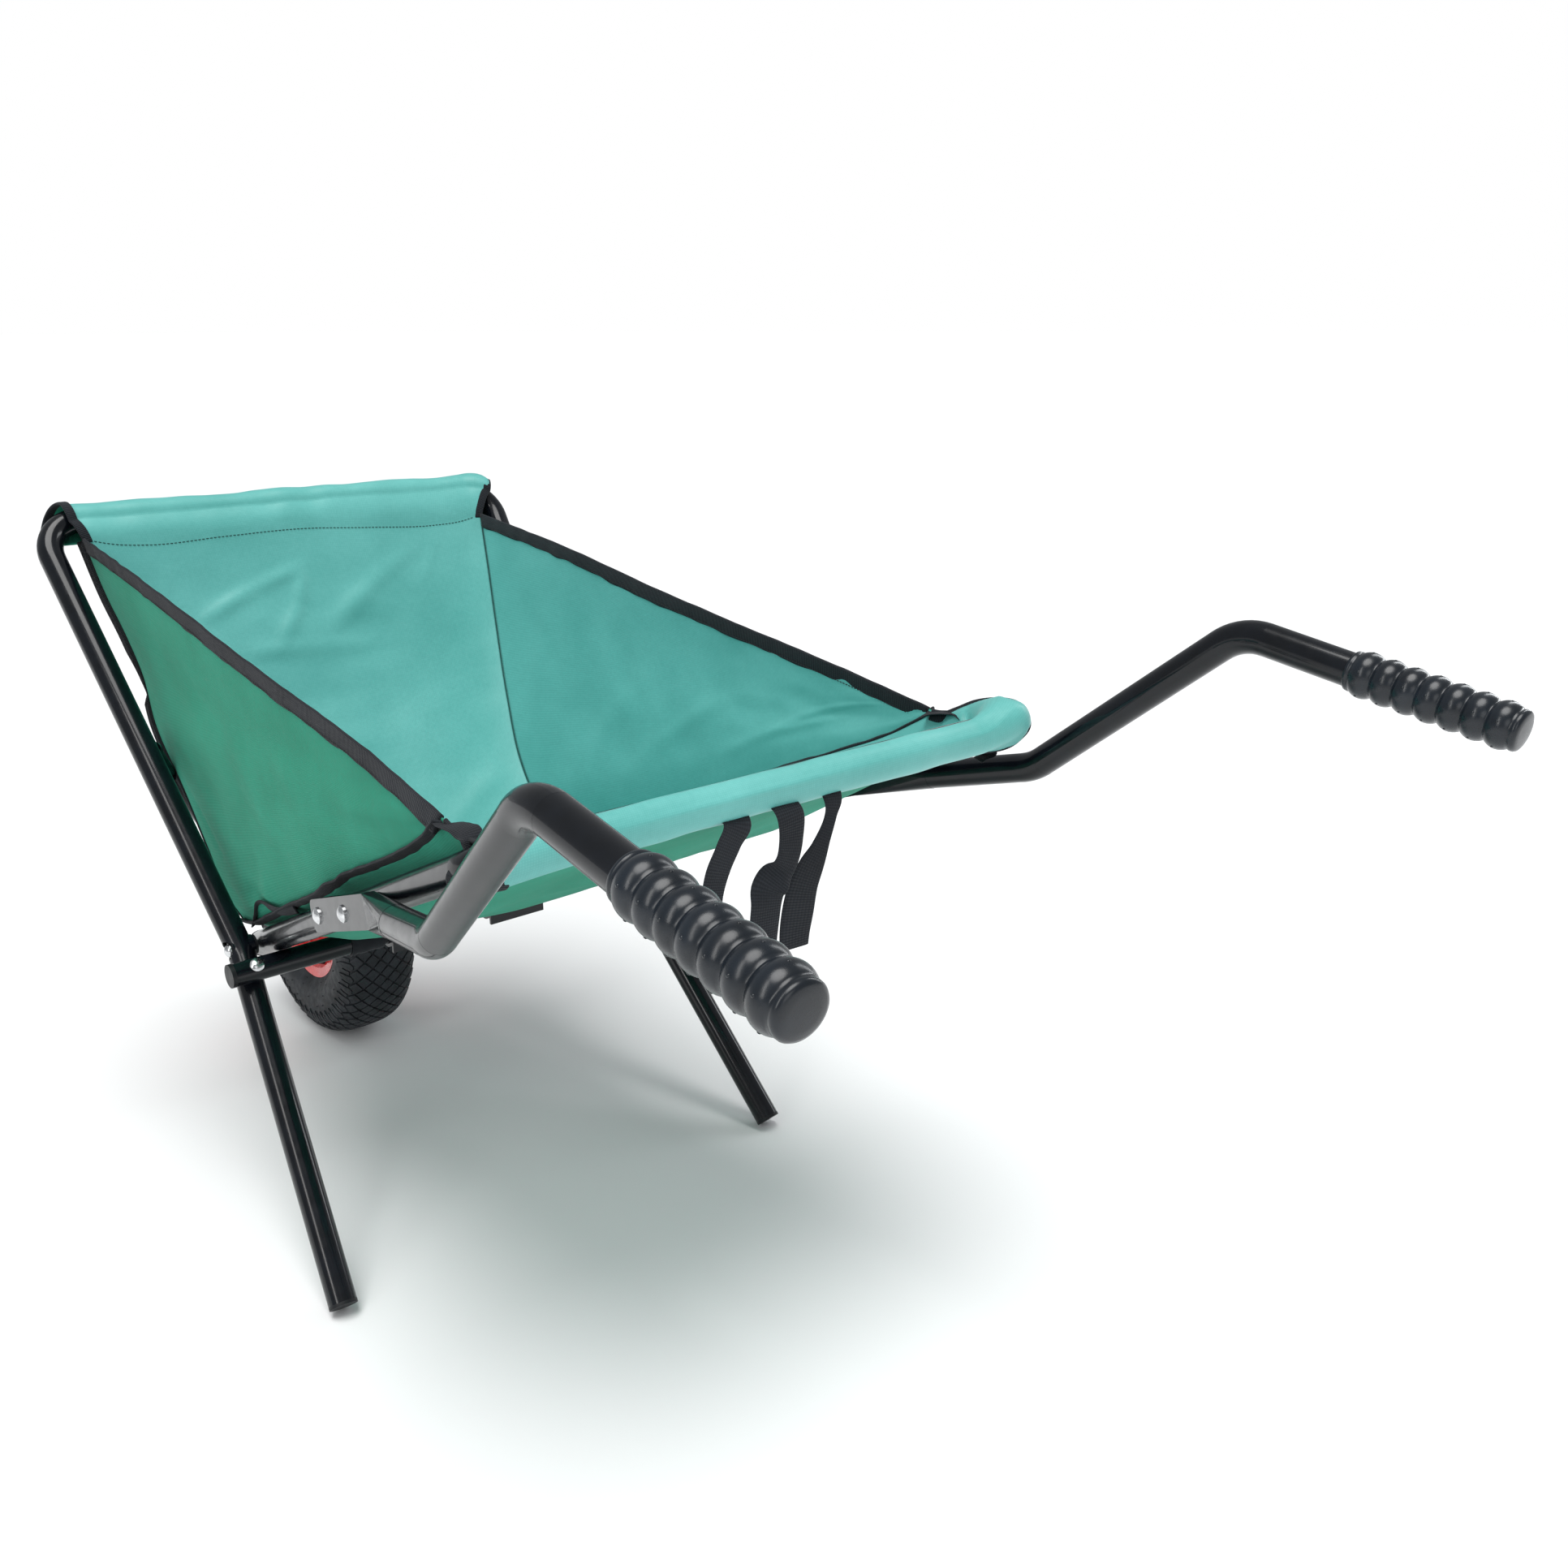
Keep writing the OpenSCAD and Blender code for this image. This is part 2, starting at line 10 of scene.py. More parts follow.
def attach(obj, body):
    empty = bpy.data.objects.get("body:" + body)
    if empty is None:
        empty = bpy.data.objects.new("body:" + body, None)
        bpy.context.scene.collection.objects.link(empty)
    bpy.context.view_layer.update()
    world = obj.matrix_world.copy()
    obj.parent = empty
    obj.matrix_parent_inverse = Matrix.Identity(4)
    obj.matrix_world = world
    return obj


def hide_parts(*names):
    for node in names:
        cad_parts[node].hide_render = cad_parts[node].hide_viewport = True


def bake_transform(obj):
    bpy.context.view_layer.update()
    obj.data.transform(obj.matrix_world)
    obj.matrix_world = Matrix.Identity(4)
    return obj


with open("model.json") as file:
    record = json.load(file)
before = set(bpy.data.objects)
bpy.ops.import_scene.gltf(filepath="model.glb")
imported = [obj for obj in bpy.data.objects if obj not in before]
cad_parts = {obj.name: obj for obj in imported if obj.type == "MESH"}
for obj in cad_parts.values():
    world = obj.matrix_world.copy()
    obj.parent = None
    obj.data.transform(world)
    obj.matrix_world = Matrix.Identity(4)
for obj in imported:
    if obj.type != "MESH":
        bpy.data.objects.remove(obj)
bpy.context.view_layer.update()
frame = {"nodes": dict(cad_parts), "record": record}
nodes = frame["nodes"]
rng = np.random.default_rng(7)

# All points below are in millimetres in the frame used for design; OFF moves them to the row frame.
OFF = np.array([-3.0, 0.0, 0.0])


def mm(p):
    """Design millimetres to row metres."""
    return (np.asarray(p, float) + OFF) * 0.001


# ---------------------------------------------------------------- small maths
def unit(v):
    v = np.asarray(v, float)
    return v / np.maximum(np.linalg.norm(v, axis=-1, keepdims=True), 1e-12)


def spline(pts, n, closed=False):
    """n points along a smooth curve through pts, spaced evenly by length."""
    p = np.asarray(pts, float)
    d = np.r_[0, np.cumsum(np.linalg.norm(np.diff(p, axis=0), axis=1))]
    m = np.zeros_like(p)
    h = np.diff(d)[:, None]
    s = np.diff(p, axis=0) / h
    m[1:-1] = (s[:-1] * h[1:] + s[1:] * h[:-1]) / (h[1:] + h[:-1])
    m[0], m[-1] = s[0], s[-1]

    def at(t):
        i = np.clip(np.searchsorted(d, t, side="right") - 1, 0, len(d) - 2)
        hh = (d[i + 1] - d[i])[:, None]
        x = ((t - d[i]) / (d[i + 1] - d[i]))[:, None]
        return ((2 * x**3 - 3 * x**2 + 1) * p[i] + (x**3 - 2 * x**2 + x) * hh * m[i]
                + (3 * x**2 - 2 * x**3) * p[i + 1] + (x**3 - x**2) * hh * m[i + 1])

    fine = at(np.linspace(0, d[-1], max(400, 4 * n)))
    c = np.r_[0, np.cumsum(np.linalg.norm(np.diff(fine, axis=0), axis=1))]
    t = np.linspace(0, c[-1], n)
    return np.stack([np.interp(t, c, fine[:, k]) for k in range(p.shape[1])], 1)


def lengths(p):
    return np.r_[0, np.cumsum(np.linalg.norm(np.diff(p, axis=0), axis=1))]


def coons(bottom, top, left, right):
    """Grid [v, u] of points inside four edge curves. bottom and top run along u, left and right along v."""
    nu, nv = len(bottom), len(left)
    u = np.linspace(0, 1, nu)[None, :, None]
    v = np.linspace(0, 1, nv)[:, None, None]
    b, t, l, r = bottom[None], top[None], left[:, None], right[:, None]
    return ((1 - v) * b + v * t + (1 - u) * l + u * r
            - ((1 - u) * (1 - v) * bottom[0] + u * (1 - v) * bottom[-1] + (1 - u) * v * top[0] + u * v * top[-1]))


def grid_normals(g):
    du = np.gradient(g, axis=1)
    dv = np.gradient(g, axis=0)
    n = unit(np.cross(du, dv))
    bad = np.linalg.norm(np.cross(du, dv), axis=2) < 1e-6
    if bad.any():
        n[bad] = unit(n[~bad].mean(0))
    return n


def noise2(u, v, seed, scale):
    """Smooth value noise on arrays u, v (mm)."""
    r = np.random.default_rng(seed)
    size = 64
    tab = r.standard_normal((size, size))
    x, y = u / scale, v / scale
    xi, yi = np.floor(x).astype(int), np.floor(y).astype(int)
    fx, fy = x - xi, y - yi
    fx, fy = fx * fx * (3 - 2 * fx), fy * fy * (3 - 2 * fy)
    g = lambda a, b: tab[a % size, b % size]
    return ((g(xi, yi) * (1 - fx) + g(xi + 1, yi) * fx) * (1 - fy)
            + (g(xi, yi + 1) * (1 - fx) + g(xi + 1, yi + 1) * fx) * fy)


# ---------------------------------------------------------------- mesh helpers
def make(name, verts, faces, mats, face_mat=None, uvs=None, smooth=True, body=None):
    """A mesh piece. verts in design mm. uvs: one (u, v) per vertex, in metres along the cloth."""
    me = bpy.data.meshes.new(name)
    me.from_pydata([tuple(v) for v in mm(verts)], [], faces)
    for m in mats:
        me.materials.append(m)
    if face_mat is not None:
        me.polygons.foreach_set("material_index", np.asarray(face_mat, np.int32))
    if uvs is not None:
        layer = me.uv_layers.new(name="UVMap")
        idx = np.zeros(len(me.loops), np.int32)
        me.loops.foreach_get("vertex_index", idx)
        layer.data.foreach_set("uv", np.asarray(uvs, np.float32)[idx].ravel())
    me.polygons.foreach_set("use_smooth", np.full(len(me.polygons), smooth))
    me.validate()
    me.update()
    ob = bpy.data.objects.new(name, me)
    bpy.context.scene.collection.objects.link(ob)
    if body:
        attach(ob, body)
    return ob


def thick_grid(name, g, t, mats, uv=None, body=None, flip=False, close_u=False):
    """Closed cloth sheet from a grid [v, u] of points: material 0 on the side of its normal, 1 on the other and the edges."""
    nv, nu = g.shape[:2]
    n = grid_normals(g) * (-1 if flip else 1)
    a, b = g + n * t / 2, g - n * t / 2
    verts = np.concatenate([a.reshape(-1, 3), b.reshape(-1, 3)])
    N = nv * nu
    if uv is None:
        du = np.linalg.norm(np.diff(g, axis=1), axis=2).mean(0)
        dv = np.linalg.norm(np.diff(g, axis=0), axis=2).mean(1)
        uu = np.r_[0, np.cumsum(du)] * 0.001
        vv = np.r_[0, np.cumsum(dv)] * 0.001
        uv = np.stack(np.meshgrid(uu, vv), 2)
    uvs = np.concatenate([uv.reshape(-1, 2)] * 2)
    faces, fm = [], []
    for j in range(nv - 1):
        for i in range(nu - 1):
            q = (j * nu + i, j * nu + i + 1, (j + 1) * nu + i + 1, (j + 1) * nu + i)
            if flip:
                q = q[::-1]
            faces.append(q)
            fm.append(0)
            faces.append(tuple(N + k for k in q[::-1]))
            fm.append(1)
    ring = ([i for i in range(nu)] + [j * nu + nu - 1 for j in range(1, nv)]
            + [(nv - 1) * nu + i for i in range(nu - 2, -1, -1)] + [j * nu for j in range(nv - 2, 0, -1)])
    for k in range(len(ring)):
        p, q = ring[k], ring[(k + 1) % len(ring)]
        f = (q, p, N + p, N + q)
        faces.append(f[::-1] if flip else f)
        fm.append(1)
    return make(name, verts, faces, mats, fm, uvs, True, body)


def sweep(name, path, wdir, ndir, prof, mats, body=None, uv_round=True, caps=True):
    """Sweeps a closed profile [(w, n)] in mm along path; wdir and ndir are per-point directions."""
    n = len(path)
    prof = np.asarray(prof, float)
    if prof.ndim == 2:
        prof = np.repeat(prof[None], n, 0)
    k = prof.shape[1]
    verts = (path[:, None] + wdir[:, None] * prof[:, :, :1] + ndir[:, None] * prof[:, :, 1:2]).reshape(-1, 3)
    s = lengths(path) * 0.001
    peri = np.r_[0, np.cumsum(np.linalg.norm(np.diff(np.r_[prof[0], prof[0][:1]], axis=0), axis=1))][:-1] * 0.001
    uvs = np.stack([np.repeat(s, k), np.tile(peri, n)], 1)
    faces = []
    for i in range(n - 1):
        for j in range(k):
            a, b = i * k + j, i * k + (j + 1) % k
            faces.append((a, b, b + k, a + k))
    if caps:
        faces.append(tuple(range(k))[::-1])
        faces.append(tuple((n - 1) * k + j for j in range(k)))
    return make(name, verts, faces, mats, None, uvs, True, body)


def rounded(w0, w1, t, r=0.45, seg=3):
    """Rounded flat profile from w0 to w1 across and t thick."""
    out = []
    h = t / 2
    rr = h * r * 2
    for cx, cy, a0 in ((w1 - rr, h - rr, 0), (w0 + rr, h - rr, 90), (w0 + rr, -h + rr, 180), (w1 - rr, -h + rr, 270)):
        for i in range(seg + 1):
            a = math.radians(a0 + 90 * i / seg)
            out.append((cx + rr * math.cos(a), cy + rr * math.sin(a)))
    return out


def stitches(name, path, nrm, mat, pitch=3.8, length=2.7, r=0.42, body=None, lift=0.25):
    """Short thread loops along a line on a surface."""
    p = np.asarray(path)
    s = lengths(p)
    n = int(s[-1] / pitch)
    verts, faces = [], []
    for i in range(n):
        t = (i + 0.5) * pitch
        a = np.array([np.interp(t - length / 2, s, p[:, k]) for k in range(3)])
        b = np.array([np.interp(t + length / 2, s, p[:, k]) for k in range(3)])
        nn = unit(np.array([np.interp(t, s, nrm[:, k]) for k in range(3)]))
        tt = unit(b - a)
        w = unit(np.cross(nn, tt))
        base = len(verts)
        for f, hgt, sc in ((0, -0.3, 0.6), (0.18, 0.75, 1), (0.82, 0.75, 1), (1, -0.3, 0.6)):
            c = a + (b - a) * f + nn * (lift * hgt)
            for ang in range(6):
                q = math.radians(60 * ang)
                verts.append(c + w * r * sc * math.cos(q) + nn * r * sc * math.sin(q))
        for k in range(3):
            for j in range(6):
                faces.append((base + k * 6 + j, base + k * 6 + (j + 1) % 6, base + (k + 1) * 6 + (j + 1) % 6, base + (k + 1) * 6 + j))
        faces.append(tuple(base + j for j in range(6))[::-1])
        faces.append(tuple(base + 18 + j for j in range(6)))
    return make(name, np.array(verts), faces, [mat], None, None, True, body)


def lathe(name, prof, origin, axis, mats, seg=64, body=None, fm=None, closed=False):
    """Turns a profile [(along, radius)] about an axis. It closes on the axis where the radius is 0."""
    axis = unit(np.asarray(axis, float))
    x = unit(np.cross(axis, [0, 0, 1.0] if abs(axis[2]) < 0.9 else [1.0, 0, 0]))
    y = np.cross(axis, x)
    prof = np.asarray(prof, float)
    ang = np.linspace(0, 2 * math.pi, seg, endpoint=False)
    verts, idx = [], []
    for a, r in prof:
        c = np.asarray(origin, float) + axis * a
        if r < 1e-6:
            idx.append([len(verts)] * seg)
            verts.append(c)
        else:
            idx.append(list(range(len(verts), len(verts) + seg)))
            for t in ang:
                verts.append(c + (x * math.cos(t) + y * math.sin(t)) * r)
    faces, mi = [], []
    m = len(prof) if closed else len(prof) - 1
    s = lengths(np.r_[prof, prof[:1]]) * 0.001
    for k in range(m):
        A, B = idx[k], idx[(k + 1) % len(prof)]
        for j in range(seg):
            f = [A[j], A[(j + 1) % seg], B[(j + 1) % seg], B[j]]
            f = list(dict.fromkeys(f))
            if len(f) > 2:
                faces.append(tuple(f))
                mi.append(fm[k] if fm else 0)
    return make(name, np.array(verts), faces, mats, mi, None, True, body)


# ---------------------------------------------------------------- materials
def new_mat(name):
    m = bpy.data.materials.new(name)
    m.use_nodes = True
    nt = m.node_tree
    b = nt.nodes["Principled BSDF"]
    return m, nt, b


def node(nt, kind, **inputs):
    n = nt.nodes.new(kind)
    for k, v in inputs.items():
        if k in n.inputs:
            n.inputs[k].default_value = v
        else:
            setattr(n, k, v)
    return n


def ramp(nt, fac, stops):
    r = nt.nodes.new("ShaderNodeValToRGB")
    e = r.color_ramp.elements
    while len(e) < len(stops):
        e.new(0.5)
    for i, (p, c) in enumerate(stops):
        e[i].position = p
        e[i].color = (*c, 1)
    nt.links.new(fac, r.inputs["Fac"])
    return r.outputs["Color"]


def noise(nt, vec, scale, detail=3.0, rough=0.55):
    n = nt.nodes.new("ShaderNodeTexNoise")
    n.inputs["Scale"].default_value = scale
    n.inputs["Detail"].default_value = detail
    n.inputs["Roughness"].default_value = rough
    nt.links.new(vec, n.inputs["Vector"])
    return n.outputs["Fac"]


def mapr(nt, val, a, b, lo=0.0, hi=1.0):
    n = nt.nodes.new("ShaderNodeMapRange")
    n.inputs["From Min"].default_value = lo
    n.inputs["From Max"].default_value = hi
    n.inputs["To Min"].default_value = a
    n.inputs["To Max"].default_value = b
    nt.links.new(val, n.inputs["Value"])
    return n.outputs["Result"]


def math_node(nt, op, a, b):
    n = nt.nodes.new("ShaderNodeMath")
    n.operation = op
    for i, x in enumerate((a, b)):
        if isinstance(x, (int, float)):
            n.inputs[i].default_value = x
        else:
            nt.links.new(x, n.inputs[i])
    return n.outputs[0]


def bump(nt, height, strength, dist, prev=None):
    n = nt.nodes.new("ShaderNodeBump")
    n.inputs["Strength"].default_value = strength
    n.inputs["Distance"].default_value = dist
    nt.links.new(height, n.inputs["Height"])
    if prev is not None:
        nt.links.new(prev, n.inputs["Normal"])
    return n.outputs["Normal"]


def coord(nt, which="Object"):
    return nt.nodes.new("ShaderNodeTexCoord").outputs[which]


def wave(nt, vec, scale, direction, profile="SIN"):
    w = nt.nodes.new("ShaderNodeTexWave")
    w.wave_type = "BANDS"
    w.bands_direction = direction
    w.wave_profile = profile
    w.inputs["Scale"].default_value = scale
    nt.links.new(vec, w.inputs["Vector"])
    return w.outputs["Fac"]


def paint(name, dark, light, rough, coat, peel=0.04, spec=0.3):
    m, nt, b = new_mat(name)
    v = coord(nt)
    n = noise(nt, v, 38, 4)
    nt.links.new(ramp(nt, n, [(0.35, dark), (0.7, light)]), b.inputs["Base Color"])
    nt.links.new(mapr(nt, noise(nt, v, 90, 4), rough * 0.8, rough * 1.35, 0.3, 0.7), b.inputs["Roughness"])
    nt.links.new(bump(nt, noise(nt, v, 700, 2), peel, 0.0004), b.inputs["Normal"])
    b.inputs["Coat Weight"].default_value = coat
    b.inputs["Coat Roughness"].default_value = 0.05
    b.inputs["Specular IOR Level"].default_value = spec
    return m


def cloth_mat(name, dark, mid, light, rough, sheen, weave=1.1, strength=0.35, rib=False, spec=0.35):
    """Woven cloth: warp and weft in the bump and a little in the colour. UVs are metres along the cloth."""
    m, nt, b = new_mat(name)
    uv = coord(nt, "UV")
    ob = coord(nt)
    k = 1000.0 / weave / 2 / math.pi * 0.3141592653589793 * 10 / 1.0
    wa = wave(nt, uv, k * 0.5, "X")
    wb = wave(nt, uv, k * 0.5, "Y")
    cross = math_node(nt, "MULTIPLY", wa, wb) if not rib else wa
    if rib:
        cross = math_node(nt, "ADD", wa, math_node(nt, "MULTIPLY", wb, 0.35))
    big = noise(nt, ob, 9, 4)
    fine = noise(nt, ob, 260, 3)
    blend = math_node(nt, "ADD", math_node(nt, "MULTIPLY", big, 0.62), math_node(nt, "MULTIPLY", fine, 0.22))
    blend = math_node(nt, "ADD", blend, math_node(nt, "MULTIPLY", cross, 0.16))
    nt.links.new(ramp(nt, blend, [(0.3, dark), (0.5, mid), (0.72, light)]), b.inputs["Base Color"])
    nt.links.new(mapr(nt, fine, rough * 0.9, min(1.0, rough * 1.12), 0.3, 0.7), b.inputs["Roughness"])
    n1 = bump(nt, noise(nt, ob, 55, 4), 0.10, 0.004)
    nt.links.new(bump(nt, cross, strength, 0.0004, n1), b.inputs["Normal"])
    b.inputs["Sheen Weight"].default_value = sheen
    b.inputs["Sheen Roughness"].default_value = 0.5
    b.inputs["Specular IOR Level"].default_value = spec
    return m


def rubber(name, dark, light, rough, grain=900, strength=0.15, coat=0.0, spec=0.35):
    m, nt, b = new_mat(name)
    v = coord(nt)
    nt.links.new(ramp(nt, noise(nt, v, 45, 5), [(0.35, dark), (0.7, light)]), b.inputs["Base Color"])
    nt.links.new(mapr(nt, noise(nt, v, 120, 4), rough * 0.85, rough * 1.2, 0.3, 0.7), b.inputs["Roughness"])
    nt.links.new(bump(nt, noise(nt, v, grain, 3), strength, 0.0004), b.inputs["Normal"])
    b.inputs["Specular IOR Level"].default_value = spec
    if coat:
        b.inputs["Coat Weight"].default_value = coat
        b.inputs["Coat Roughness"].default_value = 0.22
    return m


def metal(name, dark, light, rough):
    m, nt, b = new_mat(name)
    v = coord(nt)
    nt.links.new(ramp(nt, noise(nt, v, 160, 4), [(0.3, dark), (0.7, light)]), b.inputs["Base Color"])
    nt.links.new(mapr(nt, noise(nt, v, 300, 4), rough * 0.7, rough * 1.5, 0.3, 0.7), b.inputs["Roughness"])
    nt.links.new(bump(nt, noise(nt, v, 1200, 2), 0.06, 0.0003), b.inputs["Normal"])
    b.inputs["Metallic"].default_value = 1.0
    return m


BLACK = paint("frame_paint", (0.0019, 0.0027, 0.0042), (0.0040, 0.0056, 0.0088), 0.20, 0.30, 0.03, 0.22)
PLASTIC = rubber("plastic", (0.006, 0.007, 0.008), (0.013, 0.014, 0.016), 0.42, 1400, 0.10, spec=0.25)
ZINC = metal("zinc", (0.48, 0.49, 0.50), (0.80, 0.81, 0.82), 0.22)
BUSH = rubber("bush", (0.66, 0.66, 0.62), (0.8, 0.8, 0.76), 0.4, 700, 0.05)
RED = paint("rim_paint", (0.62, 0.014, 0.014), (0.80, 0.028, 0.026), 0.28, 0.4, spec=0.4)
TYRE = rubber("tyre", (0.010, 0.0125, 0.015), (0.024, 0.028, 0.034), 0.58, 800, 0.35, spec=0.3)
TUBE = rubber("tube_rubber", (0.015, 0.015, 0.016), (0.03, 0.03, 0.03), 0.5)
GRIP = rubber("grip", (0.004, 0.0065, 0.0100), (0.008, 0.0128, 0.0195), 0.28, 1100, 0.08, coat=0.3, spec=0.3)
INNER = cloth_mat("fabric_inner", (0.090, 0.385, 0.355), (0.118, 0.440, 0.410), (0.150, 0.505, 0.475), 0.42, 0.04, 1.3, 0.16, spec=0.5)
OUTER = cloth_mat("fabric_outer", (0.019, 0.206, 0.131), (0.027, 0.258, 0.168), (0.038, 0.320, 0.220), 0.8, 0.04, 1.5, 0.45, spec=0.12)
WEB = cloth_mat("webbing", (0.005, 0.0060, 0.0085), (0.009, 0.0112, 0.0150), (0.020, 0.0238, 0.0300), 0.7, 0.06, 1.6, 0.9, rib=True, spec=0.2)
TAPE = cloth_mat("binding", (0.005, 0.0060, 0.0085), (0.009, 0.0112, 0.0150), (0.020, 0.0238, 0.0300), 0.75, 0.06, 1.4, 0.9, rib=True, spec=0.2)
THREAD = rubber("thread", (0.012, 0.05, 0.045), (0.02, 0.085, 0.075), 0.7)
THREAD_K = rubber("thread_black", (0.012, 0.012, 0.013), (0.03, 0.03, 0.032), 0.7)

slot_mat = {"frame_paint": BLACK, "plastic": PLASTIC, "zinc": ZINC, "bush": BUSH, "rim_paint": RED, "tyre": TYRE,
            "tube_rubber": TUBE, "grip": GRIP, "fabric_inner": INNER, "fabric_outer": OUTER, "webbing": WEB}
for sp in frame["record"]["subparts"]:
    ob = nodes[sp["node"]]
    ob.data.materials.clear()
    ob.data.materials.append(slot_mat[sp["material_slot"]])

for name, wd in (("handle_left", 0.0024), ("handle_right", 0.0024), ("cross_plug_left", 0.0008), ("cross_plug_right", 0.0008),
                 ("rail_plug_left", 0.0008), ("rail_plug_right", 0.0008)):
    bv_mod = nodes[name].modifiers.new("edges", "BEVEL")
    bv_mod.width = wd
    bv_mod.segments = 3
    bv_mod.limit_method = "ANGLE"
    bv_mod.angle_limit = math.radians(55)

# ---------------------------------------------------------------- the tub's edge curves (design mm)
TOP_N = [(530, 221, 615.4), (384, 221.5, 598.6), (238, 222, 579.8), (93, 223, 560.6), (-14, 224, 549.0), (-110, 226, 538.8), (-236, 228, 517.7)]
TOP_F = [(524, -229, 603), (329, -228, 584), (173, -228, 562.7), (37, -227, 547), (-83, -227, 533.8), (-189, -228, 520.3), (-237, -229, 513.2)]
SEAM_N = [(530, 221, 615.4), (508.9, 213.1, 563.2), (481.9, 205.6, 520.2), (460, 201.5, 484), (436, 203, 440.3), (392, 197, 379), (346, 195, 326), (311, 193, 285), (285, 188, 266)]
SEAM_F = [(524, -229, 603), (491.7, -217.5, 543.6), (460, -205.6, 483.1), (412, -188, 404.1), (367, -175, 340.6), (340, -172, 312), (313, -176, 284), (285, -184, 266)]
LOW_N = [(285, 188, 266), (258, 189, 272), (200, 191, 298), (120, 198, 337), (34.8, 206.5, 377), (-32.2, 212, 413), (-124.4, 219, 454.5), (-198.6, 225, 492.2), (-236, 228, 517.7)]
LOW_F = [(285, -184, 266), (258, -186.5, 272), (200, -191, 298), (120, -198, 337), (34.8, -206.5, 377), (-32.2, -212, 413), (-124.4, -219, 454), (-198.6, -225, 489), (-237, -229, 513.2)]
STITCH = [(530, 221, 615.4), (528.5, 190, 607.5), (528, 157, 604.0), (528, 80, 605.5), (528, -6, 606.0), (527, -90, 600), (526, -165, 595.5), (525, -205, 597.5), (524, -229, 603)]
BOTTOM = [(285, 188, 266), (281, 120, 264), (279, 60, 263), (278, 0, 262.6), (279, -60, 263), (281, -120, 264), (285, -184, 266)]

PANEL_T = 1.2


def crease(u, v, segs):
    """Sum of soft ridges. Each segment is (u0, v0, u1, v1, height, width) on 0..1 coordinates scaled to mm by the caller."""
    h = np.zeros_like(u)
    for u0, v0, u1, v1, a, w in segs:
        du, dv = u1 - u0, v1 - v0
        L2 = du * du + dv * dv
        t = np.clip(((u - u0) * du + (v - v0) * dv) / L2, 0, 1)
        d2 = (u - u0 - t * du) ** 2 + (v - v0 - t * dv) ** 2
        taper = np.sin(np.pi * np.clip(t, 0.02, 0.98)) ** 0.6
        h += a * np.exp(-d2 / (w * w)) * taper
    return h


# front panel: rows run from the bottom line up to the stitch line
nu, nv = 150, 110
bot = spline(BOTTOM, nu)
top = spline(STITCH, nu)
ln = spline(SEAM_N[::-1], nv)
lf = spline(SEAM_F[::-1], nv)
front = coons(bot, top, ln, lf)
U, Vv = np.meshgrid(np.linspace(0, 1, nu), np.linspace(0, 1, nv))
fn = grid_normals(front)
fn *= np.sign((fn @ np.array([-0.75, 0, 0.66])).mean())     # towards the inside of the tub
edge = np.sin(np.pi * U) ** 0.7 * np.sin(np.pi * np.clip(Vv, 0.0, 1)) ** 0.8
wu, wv = U * 430, Vv * 410
belly = -15 * edge * (1.15 - 0.5 * Vv)
wrk = (2.2 * noise2(wu, wv, 3, 85) + 0.9 * noise2(wu * 0.6, wv * 1.6, 5, 40)) * edge
creases = crease(wu, wv, [(84, 327, 156, 354, 3.0, 8), (148, 351, 212, 370, 2.4, 8), (121, 286, 192, 282, 2.4, 9),
                          (184, 283, 268, 278, 1.8, 10), (208, 364, 194, 328, 2.0, 7), (198, 333, 162, 290, 2.6, 9),
                          (222, 298, 305, 362, 3.0, 12), (298, 356, 346, 390, 2.2, 10), (60, 345, 70, 392, 1.8, 6),
                          (350, 350, 372, 400, 1.4, 7), (20, 120, 130, 160, 2.2, 12), (300, 60, 410, 110, 1.8, 14)]) * np.clip(edge * 2.2, 0, 1)
front = front + fn * (belly + wrk + creases)[..., None]

